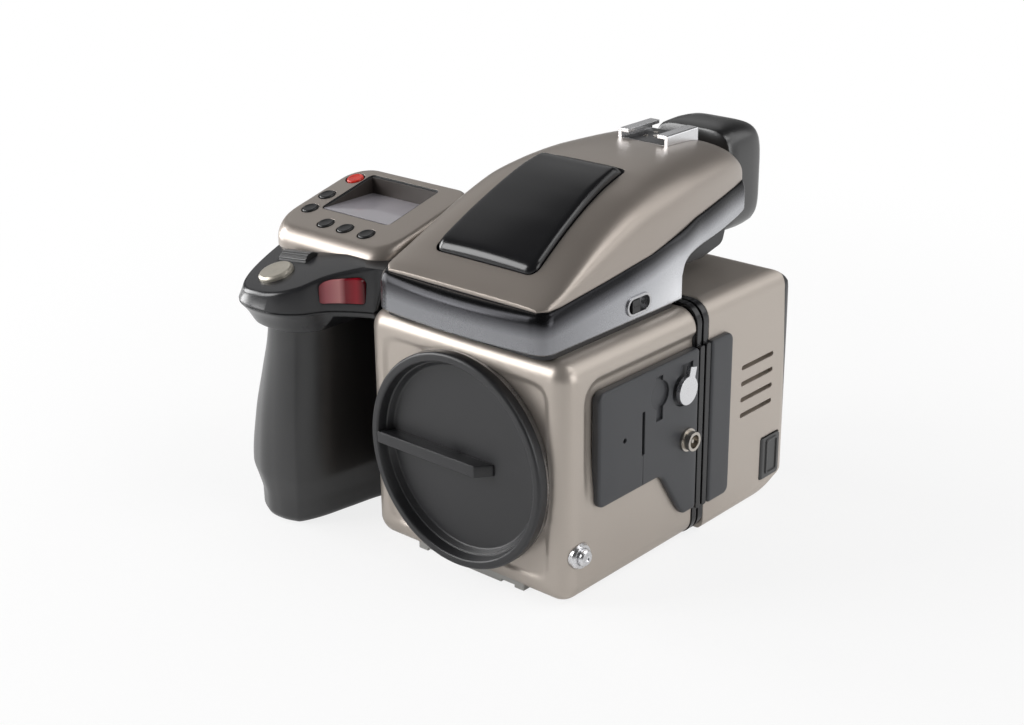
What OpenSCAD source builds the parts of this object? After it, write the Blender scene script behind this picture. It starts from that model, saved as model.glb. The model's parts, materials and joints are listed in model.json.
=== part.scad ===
/* [Body] */
// Width of the body shell across its flat sides
body_w = 88; // [86:1:94]
// Height of the shell's flat top above the base plane
body_h = 85; // [84:1:88]
// Depth of the shell from the front face to the back frame
body_d = 68; // [67:1:72]
// Distance of the lens axis below the middle of the body's height
lens_drop = 0.1; // [-0.9:0.1:1.1]
// Radius of the long top shoulders
shoulder_r = 7; // [5:0.5:9]
// Radius of the long lower edges
corner_r = 7; // [4:0.5:9]
// Radius of the upright edges beside the front face
front_r = 8; // [5:0.5:9]
// Depth of the shallow step on the front face
front_step = 0.7; // [0.4:0.1:1.0]

/* [Lens mount and cap] */
// Inner radius of the bayonet ring
mount_r = 33.6; // [32.6:0.2:34.0]
// Outer radius of the cap's rim
cap_r = 37.7; // [37.2:0.1:38.6]
// Height of the cap's rim in front of the bayonet ring
cap_h = 4.1; // [3.6:0.1:5.0]
// Width of the cap's rim
rim_w = 2.8; // [2.2:0.2:3.8]
// Thickness of the finger bar
bar_t = 4.2; // [3.4:0.2:5.0]
// Radius of the lens release button
release_r = 2.9; // [2.5:0.1:3.5]
// Turn of the cap from locked to free, in degrees
cap_turn = 25; // [20:1:30]

/* [Mirror] */
// Length of the mirror from its hinge
mirror_l = 50; // [44:1:50]
// Width of the mirror
mirror_w = 52; // [46:1:56]
// Thickness of the mirror plate
mirror_t = 2; // [1.6:0.2:2.6]

/* [Finder] */
// Width of the finder over its silver sides
finder_w = 74; // [72:1:76]
// Thickness of the rubber gasket under the finder
gasket_t = 2; // [1.6:0.2:2.6]
// Thickness of the silver plates
plate_t = 1.5; // [1.2:0.1:2.0]
// Height of the flash lid above the hood around it
lid_rise = 2; // [1.4:0.2:2.6]
// Gap round the flash lid
lid_gap = 0.5; // [0.4:0.1:0.8]
// Length of the accessory shoe
shoe_l = 18; // [17.5:0.5:18.5]
// Half width of the eyecup
cup_hw = 17.6; // [16.6:0.2:18.6]

/* [Grip] */
// Height of the collar's lower edge
grip_h = 80; // [79:0.5:81]
// Radius of the shutter button
shutter_r = 6.3; // [5.8:0.1:6.6]
// Radius of the control wheels
wheel_r = 3.8; // [3.4:0.1:3.9]
// Number of ribs on each control wheel
wheel_ribs = 20; // [16:2:24]
// Radius of the small display buttons
key_r = 2.9; // [2.5:0.1:3.1]

/* [Digital back] */
// Depth of the digital back behind its frame
back_d = 54; // [52:1:58]
// Height of the digital back above the body's top
back_rise = 1; // [0:0.5:3]
// Height of one cooling slot
vent_h = 1.8; // [1.2:0.2:2.4]
// Number of cooling slots
vent_n = 4; // [3:1:5]
// Width of the rear screen
screen_w = 46; // [42:1:48]

/* [Fits] */
// Radial clearance of a turning or sliding fit
fit = 0.08; // [0.05:0.01:0.10]
// Gap between faces that move past each other
gap = 0.3; // [0.3:0.05:0.4]

/* [Hidden] */
$fn = 64;
e = 0.01;
hw = body_w / 2;
lens_z = body_h / 2 - lens_drop;
back_h = body_h + back_rise;
front_y = -37;
seam_y = front_y + body_d;
frame_d = 7.5;
back_y = seam_y + frame_d;
rear_y = back_y + back_d;
base_clear = 0.6;

// Mount planes behind the front face
step_y = front_y + front_step;
ring_y = front_y - 1.6;
ring_back_y = step_y + 1;
ring_r = mount_r + 3.4;

release_place = [front_y + 7, 17.9];

// Mirror chamber
room_hw = 31;
room_y0 = front_y + 6;
room_y1 = seam_y - 7;
room_z0 = 14;
room_z1 = body_h - 6;
hinge_y = room_y1 - 4.5;
hinge_z = room_z1 - 4.5;
pin_r = 1.5;
pin_seat = 3;
mirror_reach = min(mirror_l, hinge_y - room_y0 - 0.5);

// Finder heights over the body's top, and its outlines along the depth
fz = body_h + gasket_t - 87;
fhw = finder_w / 2;
hood_low = [[-40, 100], [-37, 100.3], [-8, 103.5], [16, 106.5], [44, 112.4], [70, 115], [90, 116.5]];
hood_top = [[-37, 101.5], [-34, 103.4], [-27, 107], [-18, 112.2], [-8, 117.6], [4, 123], [16, 127],
            [30, 129.7], [44, 130.4], [58, 130.2], [70, 129.7], [77, 128.6], [82, 125], [85, 119.5]];
hood_half = [[-37, 32], [-34, 34.8], [-27, 35.6], [16, 35.8], [30, 35.2], [44, 33.6], [58, 31.4],
             [70, 29.2], [77, 27.6], [82, 26], [85, 23.5]];
side_half = [[-40, 0], [32, 0], [46, -2], [60, -4.4], [72, -6.8], [84, -9]];
strip_h = 4.2;
shoe_z = 130.2;

// Display housing and collar planes
grip_x = 44 - hw;
grip_dz = grip_h - 80;
collar_foot = 73.4;
collar_hub = [-75, -15];
ledge_z = body_h + 0.6 - grip_dz;
collar_x = -fhw - 1.6 - grip_x;
top_slope = 0.25;
top_tilt = atan(top_slope);
collar_sx = 0.123;
collar_sy = 0.283;
collar_n = sqrt(1 + collar_sx * collar_sx + collar_sy * collar_sy);
collar_rx = asin(collar_sy / collar_n);
collar_ry = -asin(collar_sx / collar_n / cos(collar_rx));
key_places = [[-99, -1.5], [-97.5, -11.5], [-83, -17.5], [-73, -17.5], [-62.5, -17.5]];
power_place = [-98, 12];
shutter_place = [-82, -42.4];
wheel_place = [-83, -31.2];
rear_wheel_place = [-84, 21.2, 87];
seat_z = 92;

// Side panel, in depth and height
panel_z0 = 32;
panel_z1 = body_h - 12.8;
panel_x = hw + 2;
panel_y0 = front_y + 14;
strip_z0 = 11.3;
lug_place = [seam_y - 9.1, panel_z1 - 12.1];
keyhole = [seam_y - 22.3, panel_z1 - 9.9];
slit = [seam_y - 30.9, panel_z1 - 20.9];
pinhole = [seam_y - 40.8, panel_z1 - 20.1];
sync_place = [seam_y - 6.5, panel_z0 + 8.9];

// Sub-parts drawn by this file

// Closed ring of points smoothed between hand-set corners
function bend(a, b, c, d, t) =
  0.5 * (2 * b + (c - a) * t + (2 * a - 5 * b + 4 * c - d) * t * t + (3 * b - a - 3 * c + d) * t * t * t);
function smooth_ring(p, k) = [
  for (i = [0 : len(p) - 1]) for (j = [0 : k - 1])
    bend(p[(i + len(p) - 1) % len(p)], p[i], p[(i + 1) % len(p)], p[(i + 2) % len(p)], j / k)
];
function unit(v) = v / norm(v);
function inset_ring(p, d) = [
  for (i = [0 : len(p) - 1])
    let (t = unit(p[(i + 1) % len(p)] - p[(i + len(p) - 1) % len(p)])) p[i] + d * [t.y, -t.x]
];
function lift(p, z) = [for (q = p) [q.x, q.y, z]];
function mix(p, q, t) = [for (i = [0 : len(p) - 1]) p[i] * (1 - t) + q[i] * t];

// Corner of a polygon replaced by an arc that touches both edges
function arc_corner(a, b, c, r, n) =
  let (u = unit(a - b), v = unit(c - b), half = acos(u * v) / 2, d = r / tan(half),
       m = b + unit(u + v) * r / sin(half), p = b + u * d - m, q = b + v * d - m,
       turn = (p.x * q.y - p.y * q.x > 0 ? 1 : -1) * (180 - 2 * half))
  [for (i = [0 : n]) let (g = turn * i / n) m + [p.x * cos(g) - p.y * sin(g), p.x * sin(g) + p.y * cos(g)]];
function rounded(p, r, n = 8) = [
  for (i = [0 : len(p) - 1])
    each r[i] > 0 ? arc_corner(p[(i + len(p) - 1) % len(p)], p[i], p[(i + 1) % len(p)], r[i], n) : [p[i]]
];

// Solid through a stack of rings with equal counts, each end closed by a fan round its hub
function mean(p) = [for (k = [0 : 2]) [for (q = p) q[k]] * [for (q = p) 1] / len(p)];
module skin(rings, hubs = undef) {
  n = len(rings[0]);
  m = len(rings);
  ends = is_undef(hubs) ? [mean(rings[0]), mean(rings[m - 1])] : hubs;
  sides = [for (j = [0 : m - 2]) for (i = [0 : n - 1])
    let (a = j * n + i, b = j * n + (i + 1) % n) each [[a, b, b + n], [a, b + n, a + n]]];
  low = [for (i = [0 : n - 1]) [m * n, (i + 1) % n, i]];
  high = [for (i = [0 : n - 1]) [m * n + 1, (m - 1) * n + i, (m - 1) * n + (i + 1) % n]];
  polyhedron(points = concat([for (r = rings) each r], ends), faces = concat(low, sides, high),
             convexity = 6);
}

// Rectangle with its own radius at each corner, from the lower left anticlockwise
module rrect(x0, x1, y0, y1, r) {
  c = [[x0, y0, 1, 1], [x1, y0, -1, 1], [x1, y1, -1, -1], [x0, y1, 1, -1]];
  difference() {
    translate([x0, y0]) square([x1 - x0, y1 - y0]);
    for (i = [0 : 3])
      if (r[i] > 0)
        difference() {
          translate([c[i][0] + c[i][2] * (r[i] - 1) / 2, c[i][1] + c[i][3] * (r[i] - 1) / 2])
            square(r[i] + 1, center = true);
          translate([c[i][0] + c[i][2] * r[i], c[i][1] + c[i][3] * r[i]]) circle(r[i]);
        }
  }
}

// Stadium outline, long way along the first axis
module stadium(l, w) {
  square([l - w, w], center = true);
  for (s = [-1, 1]) translate([s * (l - w) / 2, 0]) circle(w / 2);
}

// Extrusions of outlines drawn in depth and height, or in width and height
module along_x(x0, x1) translate([x0, 0, 0]) rotate([90, 0, 90]) linear_extrude(x1 - x0) children();
module along_y(y0, y1) translate([0, y1, 0]) rotate([90, 0, 0]) linear_extrude(y1 - y0) children();
module span(x, y, z) translate([x[0], y[0], z[0]]) cube([x[1] - x[0], y[1] - y[0], z[1] - z[0]]);
module rod_x(x0, x1, y, z, r) translate([x0, y, z]) rotate([0, 90, 0]) cylinder(r = r, h = x1 - x0);
module rod_y(y0, y1, x, z, r) translate([x, y0, z]) rotate([-90, 0, 0]) cylinder(r = r, h = y1 - y0);

// Body shell with its mirror chamber
module body_outer() {
  intersection() {
    along_y(front_y, seam_y) rrect(-hw, hw, base_clear, body_h, [corner_r, corner_r, shoulder_r, shoulder_r]);
    translate([0, 0, -1]) linear_extrude(body_h + 2)
      rrect(-hw, hw, front_y, seam_y, [front_r, front_r, 0, 0]);
    along_x(-hw - 1, hw + 1) rrect(front_y, seam_y, base_clear, body_h, [6, 0, 0, 5]);
  }
}
module panel_outline(grow = 0) {
  edge = seam_y + grow;
  rrect(panel_y0 - grow, edge, panel_z0 - grow, panel_z1 + grow, [3 + grow, 0, 0, 3 + grow]);
  foot = strip_z0 + 1.4 - grow;
  polygon(rounded([[seam_y - 21 - grow, panel_z0 + 1], [seam_y - 19.5 - grow, 31 - grow],
                   [seam_y - 10 - grow, 16 - grow], [seam_y - 7, foot], [edge, foot], [edge, panel_z0 + 1]],
                  [0, 4, 4, 3, 0, 0]));
}
module body_shell() {
  color([0.60, 0.56, 0.52])
    difference() {
      body_outer();
      along_y(front_y - 1, step_y) rrect(-hw + 8, hw - 8, 8, body_h - 8, [6, 6, 6, 6]);
      rod_y(front_y - 1, ring_back_y, 0, lens_z, ring_r);
      rod_y(front_y - 1, room_y0 + 1, 0, lens_z, mount_r + 2);
      span([-room_hw, room_hw], [room_y0, room_y1], [room_z0, room_z1]);
      span([-27, 27], [room_y0 + 4, hinge_y], [room_z1 - 1, body_h + 1]);
      span([-30, 30], [room_y0 + 1, hinge_y + 3], [room_z1 + 1, body_h + 1]);
      span([-27, 27], [room_y1 - 1, seam_y + 1], [lens_z - 20, lens_z + 20]);
      span([-24, 24], [front_y - 1, front_y + 60], [-1, 3]);
      span([-14, 14], [-12, front_y + 60], [-1, 9]);
      along_x(hw - 1.5, hw + 1) panel_outline(4);
      rod_x(hw - 5, hw + 1, release_place.x, release_place.y, release_r + 1.6);
      rod_x(hw - 8, hw + 1, release_place.x, release_place.y, release_r + fit);
      rod_x(-room_hw - pin_seat, room_hw + pin_seat, hinge_y, hinge_z, pin_r);
    }
}

// Coupling plate in the base, with the two tripod sockets
module base_plate() {
  color([0.78, 0.77, 0.75])
    difference() {
      union() {
        span([-24, 24], [front_y + 2, front_y + 60], [0, 3]);
        span([-14, 14], [-12, front_y + 60], [0, 9]);
      }
      translate([0, 0, -e]) cylinder(r = 3.97, h = 7.5 + e);
      translate([0, 16, -e]) cylinder(r = 2.55, h = 7.5 + e);
      for (s = [-1, 1])
        translate([s * 17, front_y + 1, -1]) cube([6, 8, 4], center = true);
    }
}

// Bayonet ring with three ways in for the lugs
module lens_mount() {
  color([0.72, 0.72, 0.73])
    difference() {
      rod_y(ring_y, ring_back_y, 0, lens_z, ring_r);
      rod_y(ring_y - 1, ring_back_y + 1, 0, lens_z, mount_r);
      for (i = [0 : 2])
        translate([0, 0, lens_z]) rotate([0, i * 120 + 30 + cap_turn, 0])
          span([mount_r - 2, mount_r + 1.7], [ring_y - 1, ring_back_y + 1], [-10, 10]);
    }
}

// Body cap: rim, stepped recess, finger bar, skirt and lugs
module body_cap() {
  rim_y = ring_y - cap_h;
  inner = cap_r - rim_w;
  skirt = mount_r - 0.4;
  lug_y = ring_back_y + gap;
  skirt_d = lug_y + 1.8 - ring_y;
  color([0.27, 0.27, 0.28]) {
    difference() {
      union() {
        translate([0, ring_y, lens_z]) rotate([90, 0, 0])
          rotate_extrude()
            polygon([[0, -skirt_d], [skirt, -skirt_d], [skirt, 0], [cap_r, 0], [cap_r, cap_h - 0.8],
                     [cap_r - 0.25, cap_h - 0.25], [cap_r - 0.8, cap_h], [inner + 0.5, cap_h],
                     [inner, cap_h - 0.5], [inner, cap_h - 2.9], [inner - 2.4, cap_h - 2.9],
                     [inner - 2.4, cap_h - 5.4], [0, cap_h - 5.4]]);
        intersection() {
          span([-cap_r, 14], [rim_y, ring_y + 2], [lens_z - 0.7 - bar_t / 2, lens_z - 0.7 + bar_t / 2]);
          union() {
            rod_y(rim_y, ring_y, 0, lens_z, inner + 0.4);
            rod_y(ring_y - 1, ring_y + 2, 0, lens_z, skirt - 0.2);
          }
        }
        for (i = [0 : 2])
          translate([0, 0, lens_z]) rotate([0, i * 120 + 30, 0])
            intersection() {
              span([skirt - 2, mount_r + 2], [lug_y, lug_y + 1.4], [-8, 8]);
              rod_y(lug_y - 1, lug_y + 3, 0, 0, mount_r + 1.4);
            }
      }
      translate([0, rim_y, lens_z]) rotate([0, -49, 0]) translate([inner + 0.4, 0, 0])
        cube([2.4, 1, 1], center = true);
    }
  }
}

// Release button beside the mount
module release_collar() {
  color([0.80, 0.80, 0.80])
    translate([hw - 5, release_place.x, release_place.y]) rotate([0, 90, 0])
      rotate_extrude()
        polygon([[release_r + fit, 0], [release_r + 1.6, 0], [release_r + 1.6, 5.2], [release_r + 1, 6.2],
                 [release_r + fit, 6.2]]);
}
module lens_release() {
  color([0.84, 0.84, 0.84])
    translate([hw - 4, release_place.x, release_place.y]) rotate([0, 90, 0])
      rotate_extrude()
        polygon([[0, 0], [release_r, 0], [release_r, 6.3], [release_r - 0.6, 7], [1.3, 7], [0.9, 6.5],
                 [0, 6.5]]);
}

// Focusing screen and reflex mirror
module focusing_screen() {
  color([0.85, 0.88, 0.90, 0.6])
    span([-29.5, 29.5], [room_y0 + 1.5, hinge_y + 2.5], [room_z1 + 1, room_z1 + 3]);
}
module mirror_pin() {
  color([0.7, 0.7, 0.7]) rod_x(-room_hw - pin_seat, room_hw + pin_seat, hinge_y, hinge_z, pin_r);
}
module reflex_mirror() {
  color([0.82, 0.84, 0.86])
    difference() {
      translate([0, hinge_y, hinge_z]) rotate([45, 0, 0]) {
        rod_x(-mirror_w / 2, mirror_w / 2, 0, 0, pin_r + 1.2);
        span([-mirror_w / 2, mirror_w / 2], [-mirror_reach, 0], [-mirror_t / 2, mirror_t / 2]);
      }
      rod_x(-mirror_w, mirror_w, hinge_y, hinge_z, pin_r + fit);
    }
}

// Dark plate on the side, with its slit, pinhole and keyhole recess
module side_panel() {
  color([0.35, 0.35, 0.36])
    difference() {
      along_x(hw - 1.5, panel_x) panel_outline();
      along_x(panel_x - 1.2, panel_x + 1) translate(slit) square([1.5, 15.4], center = true);
      rod_x(panel_x - 1.5, panel_x + 1, pinhole.x, pinhole.y, 0.9);
      along_x(panel_x - 1, panel_x + 1) translate(keyhole) {
        circle(5);
        translate([0, -4.7]) square([3.6, 9], center = true);
        translate([-0.5, 4.7]) square([4, 4], center = true);
      }
      along_x(panel_x - 1, panel_x + 1) translate(lug_place) {
        circle(6);
        translate([2.1, 6.3]) square([6, 5], center = true);
      }
    }
}
module strap_lug() {
  color([0.86, 0.86, 0.87]) {
    along_x(panel_x - 1, panel_x + 0.9) translate(lug_place) circle(2.6);
    along_x(panel_x + 0.6, panel_x + 2.2) translate(lug_place) {
      circle(5);
      translate([0.7, 0]) rotate(-14) translate([-1.7, 0]) square([3.4, 8]);
    }
  }
}
module sync_socket() {
  color([0.72, 0.62, 0.48])
    difference() {
      union() {
        rod_x(panel_x, panel_x + 1, sync_place.x, sync_place.y, 4.1);
        rod_x(panel_x, panel_x + 3.4, sync_place.x, sync_place.y, 3.4);
      }
      difference() {
        rod_x(panel_x + 0.6, panel_x + 4, sync_place.x, sync_place.y, 2.4);
        rod_x(panel_x + 0.6, panel_x + 2.6, sync_place.x, sync_place.y, 0.7);
      }
    }
}

// Finder outlines: plan, and the side view that steps up to the tail
function side_at(y) = fhw + lookup(y, side_half);
function plan_half(d) = [for (y = [-32, 0, 32, 39, 46, 53, 60, 66, 72, 78, 82]) [side_at(y) - d, y]];
function bow(d) = [for (i = [0 : 8]) let (x = (fhw - 6) * (i / 4 - 1))
                   [x, -41.2 + d + 2.4 * pow(x / fhw, 2)]];
function corner_arc(d) = arc_corner(bow(d)[7], [fhw - d, -38.9 + d], [fhw - d, 0], 5 - d, 6);
function plan(d) = let (side = concat(corner_arc(d), plan_half(d)), n = len(side) - 1)
  concat(bow(d), side, [for (i = [n : -1 : 0]) [-side[i].x, side[i].y]]);
function hood_edge(drop) = [for (q = hood_low) if (q[0] > -40 && q[0] < 75) [q[0], q[1] - drop]];
foot_y = seam_y + 1;
tail = [[82, 107.5], [79, 105.2], [66, 103.6], [foot_y + 12, 102.2], [foot_y + 5.5, 101.3],
        [foot_y + 1.6, 99], [foot_y, 95]];
function tail_z(y) = lookup(y, [for (i = [6 : -1 : 0]) tail[i]]);
function rise(drop) = let (q = hood_edge(drop)) concat([[-50, q[0].y - 0.9]], q, [[82, 115.8 - drop]]);
module finder_prism(d, drop) {
  intersection() {
    linear_extrude(140) polygon(plan(d));
    along_x(-50, 50) polygon(concat([[-50, 87]], rise(drop), tail, [[foot_y, 87]]));
  }
}
module plate_zone() {
  difference() {
    finder_prism(0, strip_h);
    translate([0, 0, 1]) linear_extrude(140) polygon(plan(plate_t));
  }
}
module front_zone() intersection() {
  plate_zone();
  span([-fhw + 4, fhw - 4], [-60, -30], [80, 130]);
}
module side_zone() intersection() {
  plate_zone();
  span([fhw - 16, fhw + 1], [-34, 79.5], [80, 130]);
}
module at_finder() translate([0, front_y + 37, fz]) children();

module finder_gasket() {
  color([0.30, 0.30, 0.31]) at_finder()
    difference() {
      translate([0, 0, 87 - gasket_t]) linear_extrude(gasket_t)
        rrect(-fhw + 1.2, fhw - 1.2, -37, foot_y - 2, [5, 5, 3, 3]);
      span([-29, 29], [room_y0 + 4, hinge_y + 1.5], [80, 90]);
    }
}
module finder_core() {
  color([0.13, 0.13, 0.14]) at_finder()
    difference() {
      finder_prism(0.4, 0);
      front_zone();
      side_zone();
      mirror([1, 0, 0]) side_zone();
      along_x(fhw - 5, fhw + 1) translate([8, 92]) stadium(12.6, 6.6);
    }
}
module finder_front() {
  color([0.73, 0.73, 0.75]) at_finder() front_zone();
}
module finder_side_right() {
  color([0.73, 0.73, 0.75]) at_finder()
    difference() {
      side_zone();
      along_x(fhw - 5, fhw + 1) translate([8, 92]) stadium(12.6, 6.6);
    }
}
module finder_side_left() {
  color([0.73, 0.73, 0.75]) at_finder() mirror([1, 0, 0]) side_zone();
}

// Catch for the flash: a bezel and the slider inside it
module catch_bezel() {
  color([0.60, 0.60, 0.61]) at_finder()
    difference() {
      along_x(fhw - 5, fhw + 0.6) translate([8, 92]) stadium(12.6, 6.6);
      along_x(fhw - 3, fhw + 1) translate([8, 92]) stadium(11, 5);
    }
}
module flash_catch() {
  color([0.10, 0.10, 0.11]) at_finder()
    difference() {
      along_x(fhw - 3, fhw + 0.8) translate([6, 92]) square([4, 5 - 2 * gap], center = true);
      for (i = [-1 : 1]) rod_x(fhw + 0.7, fhw + 2, 6 + i * 1.2, 92, 0.3);
    }
}

// Hood: a moulded shell of squared-off ellipses, widest at the front
hood_n = 40;
function arch(y) =
  let (w = lookup(y, hood_half), z0 = lookup(y, hood_low), h = lookup(y, hood_top) - z0,
       p = 2 / (y < 20 ? 4.4 : 3.6))
  [for (i = [0 : hood_n]) let (a = 180 * i / hood_n)
    [w * sign(cos(a)) * pow(abs(cos(a)), p), y, z0 + h * pow(abs(sin(a)), p)]];
hood_y = [for (q = hood_top) q[0]];
lid_axis_y = 21;
lid_y = [-26, -22, -16, -8, 0, 8, 16, lid_axis_y];
lid_axis_z = 125;
lid_axis_r = 5;
function lid_half(y) = 21.6 - 5.2 * (y + 26) / 52;
function lid_floor(y) = 103.5 + (lid_axis_z - lid_axis_r - 103.5) * (y + 26) / 47;
function lid_ring(y, g) =
  let (w = lid_half(y) + g, z0 = lid_floor(y) - 2 * g,
       z1 = lookup(y, hood_top) + lid_rise + (y < -24 ? -1.2 : 0),
       half = [[w, z0], [w, z1 - 2.4], [w - 0.7, z1 - 0.9], [w - 2.4, z1], [w / 2, z1 + 0.5]])
  concat([for (q = half) [q.x, y, q.y]], [[0, y, z1 + 0.7]],
         [for (i = [4 : -1 : 0]) [-half[i].x, y, half[i].y]]);
module lid_pocket() {
  skin([for (y = concat([-26 - lid_gap], [for (i = [1 : 7]) lid_y[i]])) lid_ring(y, lid_gap)]);
  w = lid_half(lid_axis_y) + lid_gap;
  r = lid_axis_r + lid_gap;
  rod_x(-w, w, lid_axis_y, lid_axis_z, r);
  span([-w, w], [lid_axis_y - 3, lid_axis_y + r], [lid_axis_z, 140]);
}
module finder_hood() {
  color([0.56, 0.52, 0.48]) at_finder()
    difference() {
      skin([for (y = hood_y) arch(y)]);
      lid_pocket();
      rod_x(-20, 20, lid_axis_y, lid_axis_z, 1.2);
      span([-11, 11], [58, 58 + shoe_l + 0.5], [shoe_z - 2, 140]);
    }
}

// Flash head under its lid, turning on a pin at the rear
module flash_head() {
  color([0.12, 0.12, 0.13]) at_finder()
    difference() {
      union() {
        skin([for (y = lid_y) lid_ring(y, 0)]);
        rod_x(-lid_half(lid_axis_y), lid_half(lid_axis_y), lid_axis_y, lid_axis_z, lid_axis_r);
      }
      rod_x(-25, 25, lid_axis_y, lid_axis_z, 1.2 + fit);
      span([-15, 15], [-30, -24], [103, 106.3]);
    }
}
module flash_window() {
  color([0.9, 0.92, 0.95, 0.5]) at_finder() span([-15, 15], [-25.6, -24], [103.6, 106.3]);
}
module flash_pin() {
  color([0.7, 0.7, 0.7]) at_finder() rod_x(-20, 20, lid_axis_y, lid_axis_z, 1.2);
}

// Accessory shoe with rails, and its contacts
module hot_shoe() {
  color([0.84, 0.84, 0.85]) at_finder()
    along_y(58, 58 + shoe_l) difference() {
      rrect(-10.8, 10.8, shoe_z - 2, shoe_z + 3.4, [0, 0, 0.8, 0.8]);
      translate([-9.33, shoe_z]) square([18.66, 2.1]);
      translate([-6.25, shoe_z]) square([12.5, 5]);
    }
}
module shoe_contacts() {
  color([0.75, 0.66, 0.45]) at_finder() {
    translate([0, 67, shoe_z]) cylinder(r = 1.8, h = 0.3);
    for (q = [[-4, 71], [4, 71], [-4, 65]]) translate([q.x, q.y, shoe_z]) cylinder(r = 0.9, h = 0.3);
  }
}

// Eyepiece under the tail of the hood, and the soft cup behind it
module eyepiece_housing() {
  color([0.25, 0.25, 0.26]) at_finder()
    difference() {
      union() {
        along_x(-25, 25) polygon(concat(arc_corner([foot_y, 93], [60, 92], [72, 94.5], 4, 6),
                                        arc_corner([60, 92], [72, 94.5], [76, 101], 4, 6), [[76, tail_z(76)]],
                                        [for (q = tail) if (q.x < 76) q], [[foot_y, 93]]));
        along_x(-14.6, 14.6) polygon(concat([[70, 97], [85, 97], [85, 116], [82, 115.8]],
                                            [for (q = tail) if (q.x > 70) q], [[70, tail_z(70)]]));
        along_y(85, 96) rrect(-14.6, 14.6, 97, 124, [5, 5, 5, 5]);
      }
      rod_y(90, 97, 0, 111, 11 + fit);
    }
}
module eyepiece_lens() {
  color([0.75, 0.8, 0.85, 0.5]) at_finder() rod_y(90, 93, 0, 111, 11);
}
function cup_ring(y, w, h, n = 40) = [for (i = [0 : n - 1]) let (a = 360 * i / n)
  [w * sign(cos(a)) * pow(abs(cos(a)), 0.42), y, 111 + h * sign(sin(a)) * pow(abs(sin(a)), 0.42)]];
module eyecup() {
  color([0.10, 0.10, 0.10]) at_finder()
    difference() {
      skin([cup_ring(87, cup_hw - 1.4, 18.4), cup_ring(89, cup_hw, 19.7), cup_ring(97, cup_hw + 0.2, 20),
            cup_ring(105, cup_hw - 0.2, 19.4), cup_ring(108, cup_hw - 1.6, 17.6)]);
      along_y(86, 96) rrect(-14.6, 14.6, 97, 124, [5, 5, 5, 5]);
      along_y(95, 110) rrect(-13, 13, 98.5, 123.5, [6, 6, 6, 6]);
    }
}

// Grip: one loft for the handle, one for the collar above it
handle_top = [[-66, -44], [-76, -47.5], [-85, -44.5], [-91.5, -36], [-96, -22], [-97, -5], [-93, 8],
              [-84, 13], [-62, 13], [-42, 12], [-42, -2], [-55, -5], [-61, -14], [-63, -30]];
handle_low = [[-63.5, -47.5], [-73, -53], [-87, -52], [-98.5, -44], [-103, -26], [-103, -5], [-97, 9],
              [-86, 13], [-62, 13], [-42, 12], [-42, -2], [-54, -5], [-60, -14.5], [-62, -31]];
handle_foot = [[-65, -46.5], [-74, -52.6], [-84, -51.6], [-93, -45], [-98, -30], [-99, -10], [-94.5, 6],
               [-85, 12], [-62, 12], [-42, 11], [-42, -3], [-55, -6], [-61, -15], [-63.5, -30]];
collar_plan = [[-22, -24], [-34, -30], [-44, -33.2], [-52, -37.6], [-58, -42.5], [-62.5, -50], [-70, -55],
               [-81, -56], [-90.5, -53], [-97.5, -43.5], [-102, -27], [-103.5, -8], [-103.5, 8], [-98, 18],
               [-84, 21.5], [-62, 22], [-40, 21.5], [-28, 18], [-20, 8], [-17, -8]];
function collar_z(p) = 86.7 + collar_sy * (p.y + 51) + collar_sx * (p.x + 90);
function grip_level(z, t, d = 0) = lift(inset_ring(smooth_ring(mix(handle_top, handle_low, t), 3), d), z);
function foot_level(z, t, d = 0) = lift(inset_ring(smooth_ring(mix(handle_foot, handle_low, t), 3), d), z);
function collar_ring(d) = inset_ring(smooth_ring(collar_plan, 3), d);
function collar_taper(k) = [for (q = collar_ring(0)) collar_hub + k * (q - collar_hub)];
function collar_level(d, drop) = [for (q = collar_ring(d)) [q.x, q.y, collar_z(q) - drop]];
module at_grip() translate([grip_x, 0, grip_dz]) children();
module at_collar(x, y) translate([x, y, collar_z([x, y])]) rotate([collar_rx, collar_ry, 0]) children();
module at_display(x, y) translate([x, y, 106.5 + top_slope * y]) rotate([top_tilt, 0, 0]) children();

module grip_handle() {
  color([0.13, 0.13, 0.14]) at_grip()
    difference() {
      skin([foot_level(0.3, 0, 2), foot_level(1, 0, 0.7), foot_level(2.6, 0), foot_level(9, 0.05),
            foot_level(13, 0.55), grip_level(17.5, 1), grip_level(36, 0.8), grip_level(53, 0.45),
            grip_level(66, 0.16), grip_level(collar_foot, 0.05)],
           [[-75, 2, 0.3], [-75, 2, collar_foot]]);
      span([-44, 0], [-80, 40], [-5, 90]);
    }
}
module collar_solid() {
  difference() {
    skin([lift(collar_taper(0.87), collar_foot), lift(collar_taper(0.93), collar_foot + 4.2),
          lift(collar_taper(0.98), 80.2), lift(collar_ring(0), 81.2),
          collar_level(0, 2.6), collar_level(0.35, 1.3), collar_level(1.3, 0.35), collar_level(2.6, 0)],
         [[collar_hub.x, collar_hub.y, collar_foot], [collar_hub.x, collar_hub.y, collar_z(collar_hub)]]);
    along_y(-80, -15.5) polygon([[-62, 73], [-57.2, 79.2], [-40, 79.2], [-40, 70], [-62, 70]]);
    along_y(-80, 40) polygon([[-120, 97], [collar_x, 97], [collar_x, ledge_z], [-44, ledge_z], [-44, 70],
                              [0, 70], [0, 130], [-120, 130]]);
  }
}
module window_zone() {
  bay = [-59.2, -46.8];
  top = [for (x = bay) collar_z([x, -38]) - 2.4];
  intersection() {
    difference() {
      translate([0, 0, 80]) linear_extrude(20) polygon(collar_ring(-0.3));
      translate([0, 0, 79]) linear_extrude(22) polygon(collar_ring(1.6));
    }
    along_y(-60, -30)
      polygon(rounded([[bay[0], 84.3], [bay[1], 84.3], [bay[1], top[1]], [bay[0], top[0]]],
                      [1, 1, 2.5, 2.5]));
  }
}
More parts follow.
